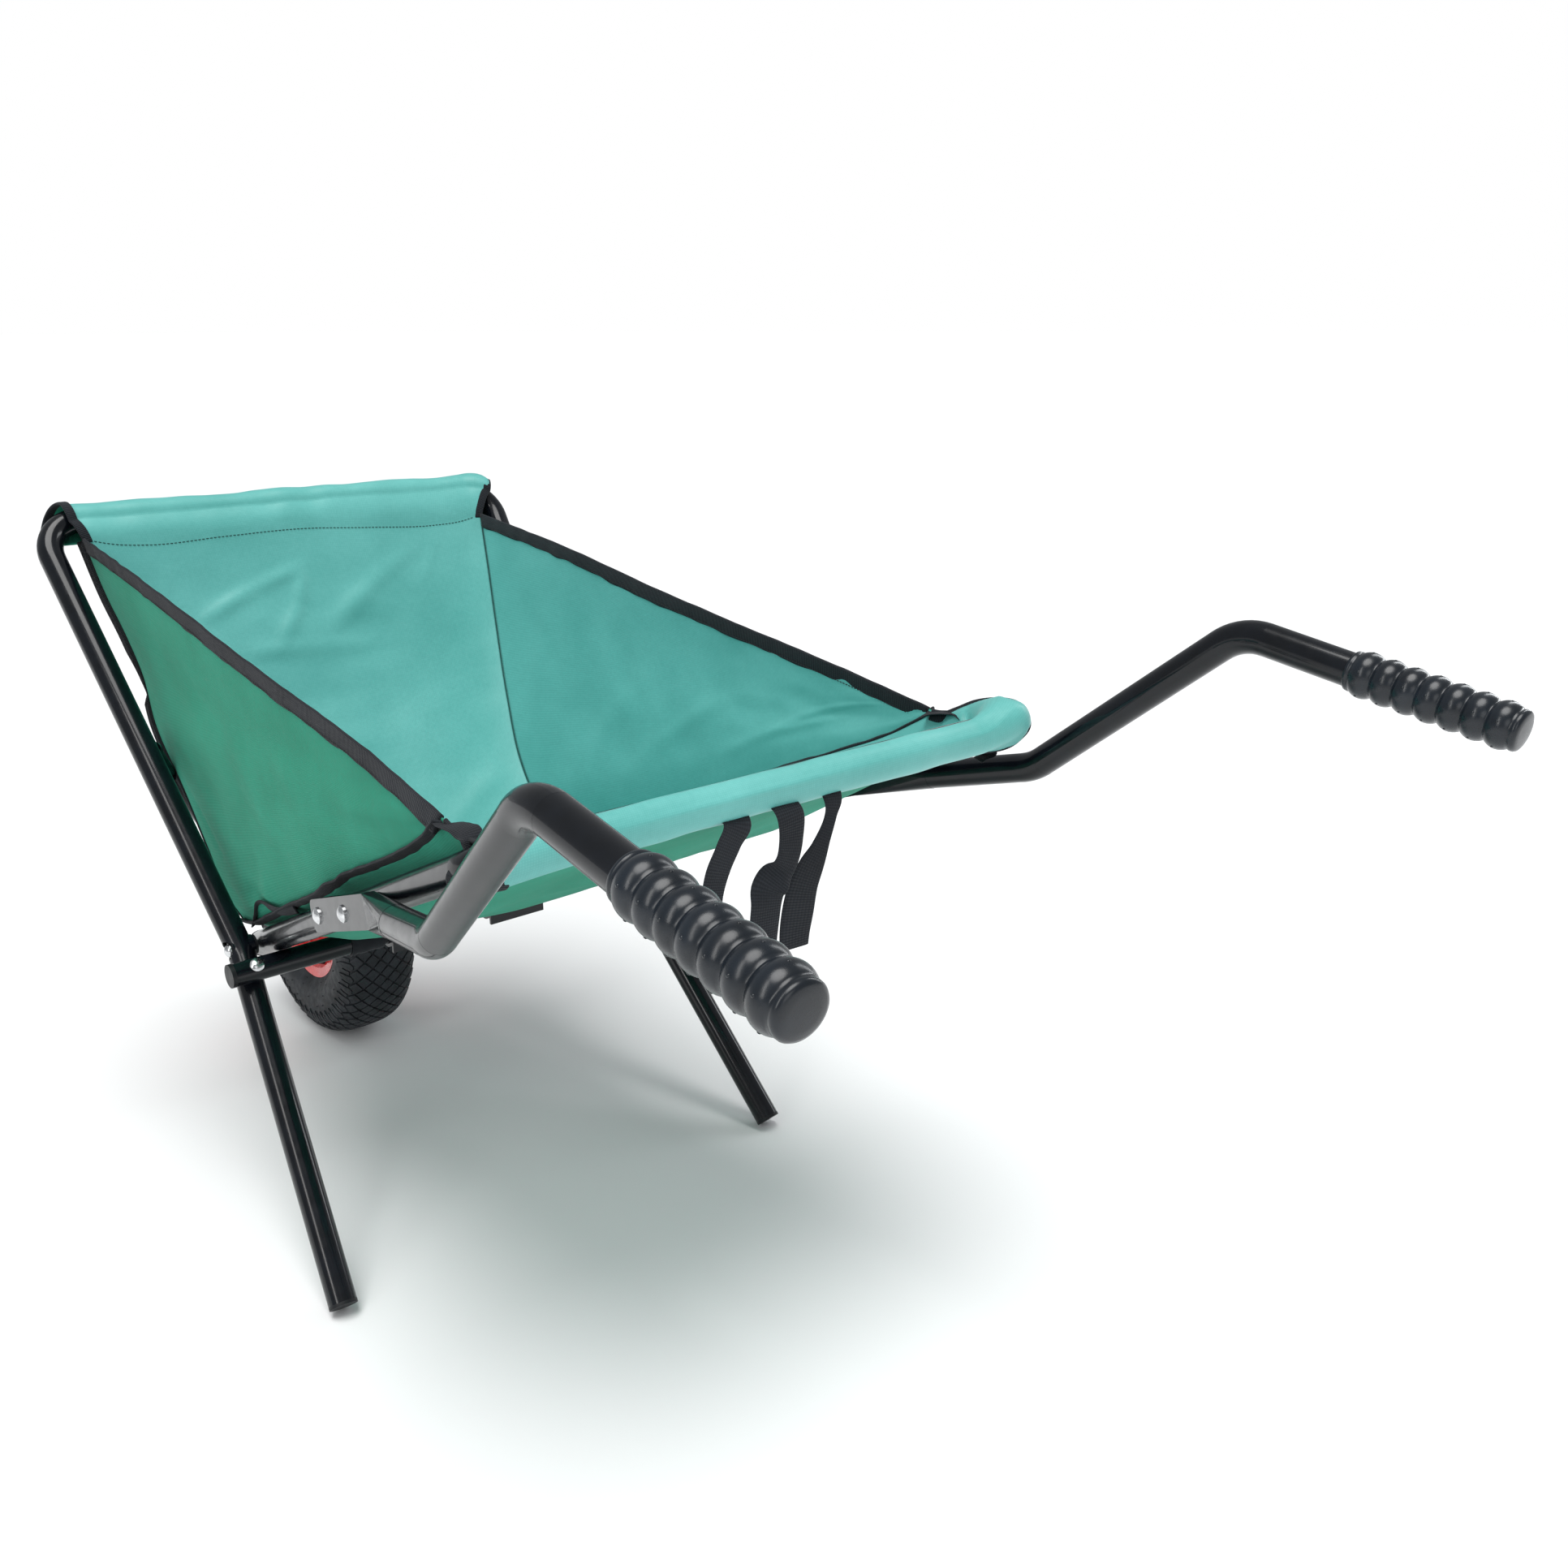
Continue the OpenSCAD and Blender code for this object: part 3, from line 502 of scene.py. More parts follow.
# the wrap over the top bar: it starts at the stitch line, passes over the bar and comes back down in front
BAR_T = np.array([559.0, 632.5])
nw = 44
wrap_rows = []
for k in range(1, nw + 1):
    s = k / nw
    ys = np.linspace(1, -1, nu)
    # half width grows towards the outer flap
    grow_n = np.interp(s, [0, 0.3, 0.5, 0.72, 1], [221, 228, 232, 249, 247])
    grow_f = np.interp(s, [0, 0.3, 0.5, 0.72, 1], [229, 246, 256, 264, 260])
    y = np.where(ys > 0, ys * grow_n, ys * grow_f)
    # the bar bends down past |y| = 214
    over = np.clip(np.abs(y) - 214, 0, 42) / 42.0
    drop = 42 * (1 - np.sqrt(np.clip(1 - over**2, 0, 1)))
    follow = np.where(y > 0, 0.45, 0.62)
    cx = BAR_T[0] - 0.6592 * drop * follow
    cz = BAR_T[1] - 0.7519 * drop * follow
    ends = np.clip((np.abs(y) - 195) / 50, 0, 1)
    R = 14.9 + 2.6 * ends + 4.0 * np.clip((np.abs(y) - 222) / 24, 0, 1) + 0.5 * np.sin(y * 0.045 + 1.3) * (s > 0.1)
    st = np.stack([np.interp(y, top[::-1, 1], top[::-1, 0]), np.interp(y, top[::-1, 1], top[::-1, 2])], 1)
    out = st + np.array([15.0, -6.0])
    # straight run to the circle, round it, and straight back to the hem
    th = np.interp(s, [0.30, 0.80], [172, -62])
    c = np.stack([cx + R * math.cos(math.radians(th)), cz + R * math.sin(math.radians(th))], 1)
    c0 = np.stack([cx + R * math.cos(math.radians(172)), cz + R * math.sin(math.radians(172))], 1)
    c1 = np.stack([cx + R * math.cos(math.radians(-62)), cz + R * math.sin(math.radians(-62))], 1)
    if s < 0.30:
        f = s / 0.30
        q = st * (1 - f) + c0 * f
        q = q + np.array([-0.72, 0.69]) * (3.2 * math.sin(math.pi * f))
    elif s > 0.80:
        f = (s - 0.80) / 0.20
        q = c1 * (1 - f) + out * f
    else:
        q = c
    wob = 0.9 * noise2(y, np.full_like(y, s * 90.0), 11, 26) * math.sin(math.pi * min(1, s * 1.2))
    q = q + np.stack([-wob * 0.5, wob * 0.8], 1)
    wrap_rows.append(np.stack([q[:, 0], y, q[:, 1]], 1))
front_all = np.concatenate([front, np.array(wrap_rows)], 0)
front_pc = thick_grid("tub_front", front_all, PANEL_T, [INNER, OUTER], flip=False)
if (grid_normals(front_all)[20:80] @ np.array([-0.75, 0, 0.66])).mean() < 0:
    bpy.data.objects.remove(front_pc)
    front_pc = thick_grid("tub_front", front_all, PANEL_T, [INNER, OUTER], flip=True)

# side panels
nsu, nsv = 150, 70


def side_panel(name, TOP, SEAM, LOW, sgn, seed, segs):
    t = spline(TOP, nsu)                 # front to rear
    lo = spline(LOW, nsu)                # bottom vertex to rear corner
    left = spline(SEAM[::-1], nsv)       # bottom vertex up to the front corner
    right = np.repeat(t[-1:], nsv, 0)
    g = coons(lo, t, left, right)
    n = grid_normals(g)
    n *= np.sign((n @ np.array([0, -sgn, 0.3])).mean())          # towards the inside
    U2, V2 = np.meshgrid(np.linspace(0, 1, nsu), np.linspace(0, 1, nsv))
    e = np.sin(np.pi * np.clip(U2, 0, 1)) ** 0.7 * np.sin(np.pi * V2) ** 0.8
    h = -6.5 * e + (1.9 * noise2(U2 * 780, V2 * 330, seed, 110) + 0.8 * noise2(U2 * 780, V2 * 330, seed + 1, 45)) * e
    h = h + crease(U2 * 780, V2 * 330, segs) * np.clip(e * 5, 0, 1)
    g = g + n * h[..., None]
    gn = grid_normals(g)
    flip = (gn[10:-10, 10:-30] @ np.array([0, -sgn, 0.3])).mean() < 0
    ob = thick_grid(name, g, PANEL_T, [INNER, OUTER], flip=flip)
    return ob, g, gn * (-1 if flip else 1)


side_n, gN, nN = side_panel("tub_side_left", TOP_N, SEAM_N, LOW_N, 1, 21,
                            [(12, 34, 60, 27, 3.4, 7), (60, 27, 150, 30, 2.6, 8), (6, 20, 130, 12, -3.0, 5), (150, 20, 215, 34, -2.6, 12),
                             (15, 130, 60, 60, 2.0, 9), (60, 150, 160, 105, 1.4, 16), (90, 80, 200, 60, -1.6, 14), (60, 280, 300, 200, 1.0, 18)])
side_f, gF, nF = side_panel("tub_side_right", TOP_F, SEAM_F, LOW_F, -1, 31,
                            [(120, 60, 330, 200, 1.6, 16), (240, 60, 470, 170, 1.8, 14), (420, 60, 640, 120, 1.6, 13), (60, 150, 150, 280, 1.0, 14),
                             (520, 90, 700, 200, 1.2, 10)])

# floor: stations run from the bottom line back to the rear bar
RAIL_DIR = (517.0 - 262.0) / (234.0 + 318.0)


def rail_z(x):
    return 262.0 + (234.0 - x) * RAIL_DIR


def rail_w(x):
    return 186.0 + (234.0 - x) * 55.0 / 552.0


nfu, nfv = 121, 120
low_n, low_f = spline(LOW_N, 400), spline(LOW_F, 400)
stations = np.r_[np.linspace(285, 200, 26)[:-1], np.linspace(200, -236, 76), np.linspace(-236, -304, 14)[1:]]
rows = []
for x in stations:
    xs = max(x, -236.0)
    zn, yn = np.interp(xs, low_n[::-1, 0], low_n[::-1, 2]), np.interp(xs, low_n[::-1, 0], low_n[::-1, 1])
    zf, yf = np.interp(xs, low_f[::-1, 0], low_f[::-1, 2]), np.interp(xs, low_f[::-1, 0], low_f[::-1, 1])
    zr, wr = rail_z(x), rail_w(x)
    back = np.clip((-236 - x) / 68.0, 0, 1)          # 0 at the rear corner, 1 at the rear wrap
    frontend = np.clip((x - 235) / 50.0, 0, 1)       # 1 at the bottom line
    depth = np.interp(x, [-304, -236, -120, 0, 120, 192, 250, 285], [6, 14, 27, 30, 24, 13.2, -4, -26])
    zb = zr - depth
    zb = max(zb, 262.8) if x > 150 else zb
    inner = np.interp(x, [-304, 120, 200, 250], [15.5, 15.5, 24, 29])
    if frontend > 0.98:
        zb = 262.8
    zb = max(zb, 262.8 + 6.8 * math.exp(-((x - 196) / 20.0) ** 4))
    pts = []
    for sgn, ys, zs in ((1, yn, zn), (-1, -yf, zf)):
        a = np.array([ys * (1 - back) + (wr - 4) * back, zs * (1 - back) + (zr + 15.5) * back])
        b = np.array([wr - inner + 1.0, zr + 9.0])
        c = np.array([wr - inner - 3.0, zr - 7.0])
        d = np.array([wr - inner - 26.0, zb + 2.5])
        if x > 235:
            f = frontend
            b = b * (1 - f) + np.array([ys - 4, zs - 0.6]) * f
            c = c * (1 - f) + np.array([ys - 12, zs - 1.2]) * f
            d = d * (1 - f) + np.array([ys - 40, max(zb, zs - 2.2)]) * f
        pts.append([a, b, c, d])
    sag = 3.0 + 6.0 * math.sin(math.pi * np.clip((285 - x) / 590.0, 0, 1))
    line = ([(p[0], p[1]) for p in pts[0]] + [(90, zb - sag * 0.55), (0, zb - sag if x < 150 else zb), (-90, zb - sag * 0.55 if x < 150 else zb)]
            + [(-p[0], p[1]) for p in pts[1][::-1]])
    if x >= 150:
        line[4] = (90, zb)
    c3 = spline([(x, y, z) for y, z in line], nfu)
    rows.append(c3)
floor_g = np.array(rows)
Uf, Vf = np.meshgrid(np.linspace(0, 1, nfu), np.linspace(0, 1, len(stations)))
ff = grid_normals(floor_g)
ff *= np.sign(ff[:, nfu // 2, 2].mean())
ef = np.clip(np.sin(np.pi * np.clip((Uf - 0.12) / 0.76, 0, 1)), 0, 1) * np.sin(np.pi * Vf) ** 0.6
floor_g = floor_g + ff * ((1.5 * noise2(Uf * 400, Vf * 640, 41, 70) + 0.6 * noise2(Uf * 400, Vf * 640, 42, 30)) * ef)[..., None]
# rear wrap: over the rear bar from the inside, down behind it and back under
BAR_R = np.array([-318.0, 517.0])
last = floor_g[-1]
rear_rows = []
nr = 40
for k in range(1, nr + 1):
    s = k / nr
    yy = last[:, 1]
    half_n = np.interp(s, [0, 0.25, 0.6, 1], [231, 236, 238, 228])
    half_f = np.interp(s, [0, 0.25, 0.6, 1], [231, 247, 250, 236])
    sc = np.where(yy > 0, half_n / yy.max(), half_f / -yy.min())
    y = np.linspace(1, -1, nfu)
    y = np.where(y > 0, y * half_n, y * half_f)
    over = np.clip(np.abs(y) - 200, 0, 42) / 42.0
    fwd = 42 * (1 - np.sqrt(np.clip(1 - over**2, 0, 1)))
    cx = BAR_R[0] + 0.907 * fwd * 0.75
    cz = BAR_R[1] - 0.42 * fwd * 0.75
    ends = np.clip((np.abs(y) - 185) / 45, 0, 1)
    far = (y < 0)
    R = 14.8 + ends * np.where(far, 4.2, 2.4)
    cz = cz + ends * np.where(far, 5.0, 0.5) - 1.4
    th = np.interp(s, [0.0, 0.78], [62, 285])
    q = np.stack([cx + R * math.cos(math.radians(th)), cz + R * math.sin(math.radians(th))], 1)
    # a soft ridge along the back of the wrap
    ridge = 1.3 * math.exp(-((th - 158) / 9.0) ** 2)
    n2 = np.array([math.cos(math.radians(th)), math.sin(math.radians(th))])
    q = q + n2 * (ridge * (0.6 + 0.4 * np.sin(y * 0.021 + 0.6)))[:, None]
    if s > 0.78:
        f = (s - 0.78) / 0.22
        c1 = np.stack([cx + R * math.cos(math.radians(285)), cz + R * math.sin(math.radians(285))], 1)
        tail = c1 + np.array([20.0, -6.5])
        q = c1 * (1 - f) + tail * f
    if s < 0.12:
        f = s / 0.12
        q0 = np.stack([np.interp(y, last[::-1, 1], last[::-1, 0]), np.interp(y, last[::-1, 1], last[::-1, 2])], 1)
        y = last[:, 1] * (1 - f) + y * f
        q = q0 * (1 - f) + q * f
    wob = 0.45 * noise2(y, np.full_like(y, s * 80.0), 51, 30)
    q = q + n2 * wob[:, None]
    rear_rows.append(np.stack([q[:, 0], y, q[:, 1]], 1))
floor_all = np.concatenate([floor_g, np.array(rear_rows)], 0)
TIP = [(-237.1, -229, 512.0), (-253.9, -231, 515.6), (-277.2, -235, 527.3), (-300.9, -243, 533.4), (-314.2, -251, 530.5),
       (-320.3, -256, 515.8), (-312.4, -254, 502.0), (-293, -245, 487.6), (-286, -239, 486.5)]
first = len(stations) - 14
tip = spline(TIP, floor_all.shape[0] - first)
reach = 14
for j in range(nfu - 1 - reach, nfu):
    f = (j - (nfu - 1 - reach)) / reach
    f = f * f * (3 - 2 * f)
    begin = np.clip(np.arange(len(tip)) / 6.0, 0, 1)[:, None]
    floor_all[first:, j] += (tip - floor_all[first:, -1]) * f * begin if j < nfu - 1 else 0
floor_all[first:, -1] = floor_all[first:, -1] * (1 - begin) + tip * begin
gn = grid_normals(floor_all)
floor_pc = thick_grid("tub_floor", floor_all, PANEL_T, [INNER, OUTER], flip=(gn[:100, nfu // 2, 2].mean() < 0))


# ---------------------------------------------------------------- binding, seams and stitching
def edge_frames(path, inward):
    """Unit tangent, direction into the cloth and cloth normal along an edge."""
    t = unit(np.gradient(path, axis=0))
    w = unit(inward - (inward * t).sum(1, keepdims=True) * t)
    return t, w, unit(np.cross(t, w))


def smooth(a, k=5):
    for _ in range(k):
        b = a.copy()
        b[1:-1] = (a[:-2] + 2 * a[1:-1] + a[2:]) / 4
        a = b
    return a


def bind(name, path, inward, width, thick=3.0, over=1.5, wob=0.0, seed=0, mat=TAPE):
    t, w, n = edge_frames(path, inward)
    w, n = unit(smooth(w)), unit(smooth(n))
    prof = np.array(rounded(-over, width, thick))
    m = len(path)
    s = lengths(path)
    if wob:
        k = wob * noise2(s, np.zeros(m), seed, 22)
        P2 = np.repeat(prof[None], m, 0)
        P2[:, :, 0] *= (1 + k)[:, None]
        P2[:, :, 1] += (0.35 * noise2(s, np.ones(m) * 3, seed + 5, 16))[:, None]
        prof = P2
    ob = sweep(name, path, w, n, prof, [mat])
    return ob, w, n


def stitch_pair(name, path, w, n, off, thick):
    a = stitches(name + "_a", path + w * off + n * (thick / 2), n, THREAD_K)
    b = stitches(name + "_b", path + w * off - n * (thick / 2), -n, THREAD_K)
    return [a, b]


blended = [front_pc, side_n, side_f, floor_pc]
TOPW = 13.5
for tag, g, sgn in (("left", gN, 1), ("right", gF, -1)):
    path = spline(g[-1, :-1], 170)
    inward = spline(g[-6, :-1], 170) - path
    inward[:] = smooth(inward, 10)
    ob, w, n = bind("bind_top_" + tag, path, inward, TOPW, 3.2, 1.8, 0.05, 61)
    blended.append(ob)
    blended += stitch_pair("thread_top_" + tag, path, w, n, TOPW - 2.0, 3.3)
    # corner seam between the front and the side: a bound allowance that stands outwards
    seam = spline(g[:, 0], 150)
    out = unit(np.stack([np.full(150, 0.78), np.full(150, 0.45 * sgn), np.full(150, -0.35)], 1))
    s = lengths(seam)
    f = s / s[-1]
    wid = np.interp(f, [0, 0.28, 0.34, 0.45, 0.585, 0.605, 0.64, 0.72, 1.0], [1.5, 1.8, 3.0, 7.5, 7.5, 1.2, 4.5, 9.0, 9.5])
    t, w, n = edge_frames(seam, out)
    w, n = unit(smooth(w)), unit(smooth(n))
    prof = np.repeat(np.array(rounded(-0.2, 1.0, 2.6))[None], 150, 0)
    pos = prof[:, :, 0] > 0
    prof[:, :, 0] = np.where(pos, prof[:, :, 0] * wid[:, None], prof[:, :, 0])
    ob = sweep("bind_corner_" + tag, seam, w, n, prof, [TAPE])
    blended.append(ob)
    # lower seam between the side and the floor
    low = spline(g[0, :-1], 170)
    out = np.repeat(np.array([[0.1, 0.85 * sgn, 0.45]]), 170, 0)
    ob, w, n = bind("bind_low_" + tag, low, out, 7.5, 2.8, 2.2, 0.12, 71)
    blended.append(ob)
    # the inside of the corner seam reads as a fine dark line
    ins = g[4:-1, 0] + np.array([-1.2, -1.4 * sgn, 0.5])
    tt = unit(np.gradient(ins, axis=0))
    ww = unit(np.cross(tt, np.array([0, 0, 1.0])))
    nn2 = np.cross(tt, ww)
    ring = [(0.5 * math.cos(a), 0.5 * math.sin(a)) for a in np.linspace(0, 2 * math.pi, 8, endpoint=False)]
    blended.append(sweep("seam_line_" + tag, ins, ww, nn2, ring, [THREAD]))

# hem stitching on the front wrap and on the rear wrap
fa_n = grid_normals(front_all)
fa_n *= np.sign((fa_n[20:80] @ np.array([-0.75, 0, 0.66])).mean())
row = front_all[nv - 1]
blended.append(stitches("thread_hem_front", row[3:-3] + fa_n[nv - 1][3:-3] * 0.6, fa_n[nv - 1][3:-3], THREAD, 4.2, 3.0, 0.45))
fl_n = grid_normals(floor_all)
fl_n *= np.sign(fl_n[:100, nfu // 2, 2].mean())
row = floor_all[-3]
blended.append(stitches("thread_hem_rear", row[4:-4] + fl_n[-3][4:-4] * 0.6, fl_n[-3][4:-4], THREAD, 4.2, 3.0, 0.45))

# binding round the open ends of both wraps
for tag, col, sgn in (("left", 0, 1), ("right", -1, -1)):
    e = front_all[nv - 2:, col]
    ins = front_all[nv - 2:, 6 if col == 0 else -7] - e
    ob, w, n = bind("bind_mouth_front_" + tag, spline(e, 70), spline(ins, 70), 7.5, 3.0, 1.8, 0.05, 81)
    blended.append(ob)
    e = floor_all[len(stations) - 14:, col]
    ins = floor_all[len(stations) - 14:, 6 if col == 0 else -7] - e
    e, ins = smooth(e, 6), unit(smooth(unit(ins), 12))
    ob, w, n = bind("bind_mouth_rear_" + tag, spline(e, 110), spline(ins, 110), 8.0, 3.4, 2.2, 0.05, 91)
    blended.append(ob)


def ribbon(name, L, R, t=1.5, n=60, body="handle_frame", mat=WEB):
    """Flat strap between two edge curves."""
    L, R = spline(L, n), spline(R, n)
    c = (L + R) / 2
    w = unit(R - L)
    half = np.linalg.norm(R - L, axis=1) / 2
    tt = unit(np.gradient(c, axis=0))
    w = unit(w - (w * tt).sum(1, keepdims=True) * tt)
    nn3 = np.cross(tt, w)
    prof = np.array(rounded(-1, 1, 1))
    P3 = np.repeat(prof[None], n, 0)
    P3[:, :, 0] *= half[:, None]
    P3[:, :, 1] *= t
    return sweep(name, c, w, nn3, P3, [mat], body=body)


S1L = [(-326, 70.8, 508), (-331, 71.3, 503), (-332, 77.9, 489.3), (-331, 87.3, 471.6), (-330, 90.5, 455), (-330, 91.5, 438)]
S1R = [(-326, 46.9, 508), (-331, 47.6, 503), (-332, 57.4, 487.9), (-331, 66.2, 469.8), (-330, 71.0, 454), (-330, 73.5, 436)]
S2L = [(-327, 28.0, 508), (-334, 27.6, 503), (-335.5, 25.3, 484.9), (-334, 31.4, 462.1), (-329, 38, 456.5), (-330, 46.8, 450.6), (-334.5, 50.5, 440), (-334.5, 51.5, 428), (-334, 50, 408), (-333, 48, 400)]
S2R = [(-327, 2.6, 508), (-334, 2.4, 502), (-335.5, 3.5, 479.8), (-336.5, 9.8, 462.9), (-338, 16.6, 453.5), (-336, 20.2, 446), (-334.5, 21.7, 438.6), (-334.5, 24.4, 424), (-334.5, 27.0, 407), (-334, 28, 398)]
S3L = [(-327, -20.4, 508), (-331, -21.0, 500), (-331, -21.5, 487.1), (-331, -8.1, 467.4), (-331, 5.3, 455.6), (-331, 14.5, 441.6), (-331, 19.8, 424), (-331, 21.6, 407), (-331, 21, 396)]
S3R = [(-327, -39.6, 508), (-332, -36.4, 500), (-333, -30.6, 491.0), (-333, -26.1, 477.7), (-332, -22.3, 458.3), (-331, -15.4, 438.5), (-331, -10.8, 417.4), (-331, -7.7, 404.8), (-331, -6, 394)]
straps = [ribbon("web_outer", S1L, S1R), ribbon("web_middle", S2L, S2R), ribbon("web_inner", S3L, S3R)]

# ---------------------------------------------------------------- tyre with block tread
AX = np.array([540.0, 0, 155.0])
RR, TR, TW = 84.0, 155.0, 45.0
CROWN = [(0, 152.6), (12, 152.2), (22, 150.9), (30, 147.8), (36, 142.5), (40.2, 135.5), (42.6, 127), (43.6, 118), (43.2, 108), (41, 99), (37.5, 92.5), (34.6, 88.2), (33.2, 85.6), (31.0, 83.0), (29, 79), (27.4, 76)]
half = spline([(a, r) for a, r in CROWN], 40)
inner_prof = [(22.5, 75.5), (24, 84), (30, 92), (36, 105), (38, 118), (36.5, 129), (31, 139), (22, 145.5), (10, 148.2), (0, 148.6)]
ih = spline(inner_prof, 24)
prof = [(-a, r) for a, r in half[::-1]] + [(a, r) for a, r in half[1:]] + [(a, r) for a, r in ih] + [(-a, r) for a, r in ih[::-1][1:]]
tyre = lathe("tyre_casing", prof, AX, (0, 1, 0), [TYRE], 144, "wheel", closed=True)

arc = lengths(np.array(half))


def crown(s):
    """Point (axial, radius) and outward direction at arc length s from the centre line."""
    a = abs(s)
    p = np.array([np.interp(a, arc, half[:, 0]), np.interp(a, arc, half[:, 1])])
    q = np.array([np.interp(a + 0.5, arc, half[:, 0]), np.interp(a + 0.5, arc, half[:, 1])])
    t = unit(q - p)
    n = np.array([-t[1], t[0]])
    n = n if n @ np.array([0.2, 1]) > 0 else -n
    if s < 0:
        p, n = p * [-1, 1], n * [-1, 1]
    return p, n


def wheel_pt(th, s, h):
    p, n = crown(s)
    a, r = p + n * h
    return AX + np.array([r * math.cos(th), a, r * math.sin(th)])


bv, bf = [], []


def block(corners, h0, h1, k=3):
    """A tread block from corner (theta mm, s) points, with a chamfered top."""
    c = np.array(corners, float)
    mid = c.mean(0)
    loops = []
    for h, inset in ((h0, 1.0), (h1 - 0.45, 0.985), (h1, 0.91)):
        ring = []
        for i in range(len(c)):
            a, b = c[i], c[(i + 1) % len(c)]
            for j in range(k):
                q = a + (b - a) * j / k
                q = mid + (q - mid) * inset
                ring.append(len(bv))
                bv.append(wheel_pt(q[0] / TR, q[1], h))
        loops.append(ring)
    for A, B in zip(loops[:-1], loops[1:]):
        for i in range(len(A)):
            j = (i + 1) % len(A)
            bf.append((A[i], A[j], B[j], B[i]))
    top = loops[-1]
    ctr = len(bv)
    bv.append(wheel_pt(mid[0] / TR, mid[1], h1))
    for i in range(len(top)):
        bf.append((top[i], top[(i + 1) % len(top)], ctr))


NB = 50
pc = 2 * math.pi * TR / NB
pl = 17.5
for i in range(NB):
    for j in range(-4, 5):
        s0 = j * pl / 2
        t0 = (i + (0.5 if j % 2 else 0)) * pc
        hw, hl = pc / 2 - 1.45, pl / 2 - 1.3
        # a diamond with slightly stepped sides
        block([(t0 - hw, s0), (t0 - hw * 0.45, s0 - hl * 0.62), (t0, s0 - hl), (t0 + hw * 0.55, s0 - hl * 0.5), (t0 + hw, s0),
               (t0 + hw * 0.45, s0 + hl * 0.62), (t0, s0 + hl), (t0 - hw * 0.55, s0 + hl * 0.5)], -0.6, 2.3, 2)
    for sg in (1, -1):
        t0 = (i + 0.5) * pc
        block([(t0 - 5.6, sg * 42), (t0 - 2.2, sg * 38.5), (t0 + 2.2, sg * 38.5), (t0 + 5.6, sg * 42), (t0 + 4.4, sg * 52), (t0 + 1.0, sg * 60), (t0 - 1.0, sg * 60), (t0 - 4.4, sg * 52)],
              -0.6, 1.5, 2)
        t0 = i * pc
        block([(t0 - 3.0, sg * 43.5), (t0 + 3.0, sg * 43.5), (t0 + 2.6, sg * 55), (t0 - 2.6, sg * 55)], -0.6, 1.3, 2)
tread = make("tyre_tread", np.array(bv), bf, [TYRE], None, None, False, "wheel")

# small moulding nibs on the side walls, in four rings on each side
nv_, nf_ = [], []
for sg in (1, -1):
    for ring_s, cnt, ph in ((66, 18, 0.0), (76, 14, 0.1), (86, 16, 0.23), (95, 20, 0.05)):
        for i in range(cnt):
            th = 2 * math.pi * (i + ph) / cnt + 0.07 * rng.standard_normal()
            base = len(nv_)
            hgt = 1.1 + 0.7 * rng.random()
            for h, r in ((-0.3, 0.75), (hgt, 0.55)):
                for a in range(6):
                    q = math.radians(60 * a)
                    nv_.append(wheel_pt(th + r * math.cos(q) / 125.0, sg * (ring_s + r * math.sin(q)), h))
            for a in range(6):
                nf_.append((base + a, base + (a + 1) % 6, base + 6 + (a + 1) % 6, base + 6 + a))
            nf_.append(tuple(base + 6 + a for a in range(6)))
nibs = make("tyre_nibs", np.array(nv_), nf_, [TYRE], None, None, True, "wheel")
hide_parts("tyre")

# ---------------------------------------------------------------- grips
H3, H4 = np.array([-478.9, 302.9, 610.6]), np.array([-683.8, 309.3, 577.2])
for tag, sgn in (("left", 1), ("right", -1)):
    a3, a4 = H3 * [1, sgn, 1], H4 * [1, sgn, 1]
    u = unit(a4 - a3)
    o = a4 - u * 119.0
    gp = [(0, 12.62), (0.0, 13.6), (0.8, 14.4), (3.0, 14.6)]
    n_r = 7
    pitch = 114.0 / n_r
    for i in range(n_r):
        c = 3.4 + pitch * (i + 0.5)
        for k in range(-6, 7):
            f = k / 6.0
            gp.append((c + f * pitch * 0.47, 13.7 + 3.1 * math.cos(f * math.pi / 2) ** 0.75))
    gp += [(118.5, 14.6), (120.4, 14.5), (121.8, 13.6), (122.6, 11.8), (122.9, 8.0), (123.0, 0)]
    gr = lathe("grip_rings_" + tag, gp, o, u, [GRIP], 72, "handle_frame")
    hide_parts("grip_" + tag)
    # small moulded dots on the rings
    x = unit(np.cross(u, [0, 0, 1.0]))
    y = np.cross(u, x)
    dv, df = [], []
    for i in range(n_r):
        c = 3.4 + pitch * (i + 0.5)
        for k in range(5):
            th = 2 * math.pi * k / 5 + 0.9
            rad = x * math.cos(th) + y * math.sin(th)
            ctr = o + u * c + rad * 16.7
            t1, t2 = u, unit(np.cross(rad, u))
            base = len(dv)
            for h, r in ((-0.4, 1.1), (0.35, 0.9), (0.6, 0.5)):
                for a in range(8):
                    q = math.radians(45 * a)
                    dv.append(ctr + rad * h + t1 * r * math.cos(q) + t2 * r * math.sin(q))
            for m_ in range(2):
                for a in range(8):
                    df.append((base + m_ * 8 + a, base + m_ * 8 + (a + 1) % 8, base + (m_ + 1) * 8 + (a + 1) % 8, base + (m_ + 1) * 8 + a))
            df.append(tuple(base + 16 + a for a in range(8)))
    dots = make("grip_dots_" + tag, np.array(dv), df, [GRIP], None, None, True, "handle_frame")

# ---------------------------------------------------------------- cross-tube band
CT = np.array([194.85, 0, 254.05])
bp = []
for i in range(9):
    bp.append((92 + i * 4.0, 11.3 + 1.55 + 0.25 * math.sin(i * 1.7)))
prof = [(91.4, 11.15), (91.4, 12.5)] + bp + [(124.6, 12.5), (124.6, 11.15)]
band = lathe("band_cross", prof, CT, (0, 1, 0), [TAPE], 48, "frame")
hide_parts("cross_strap")

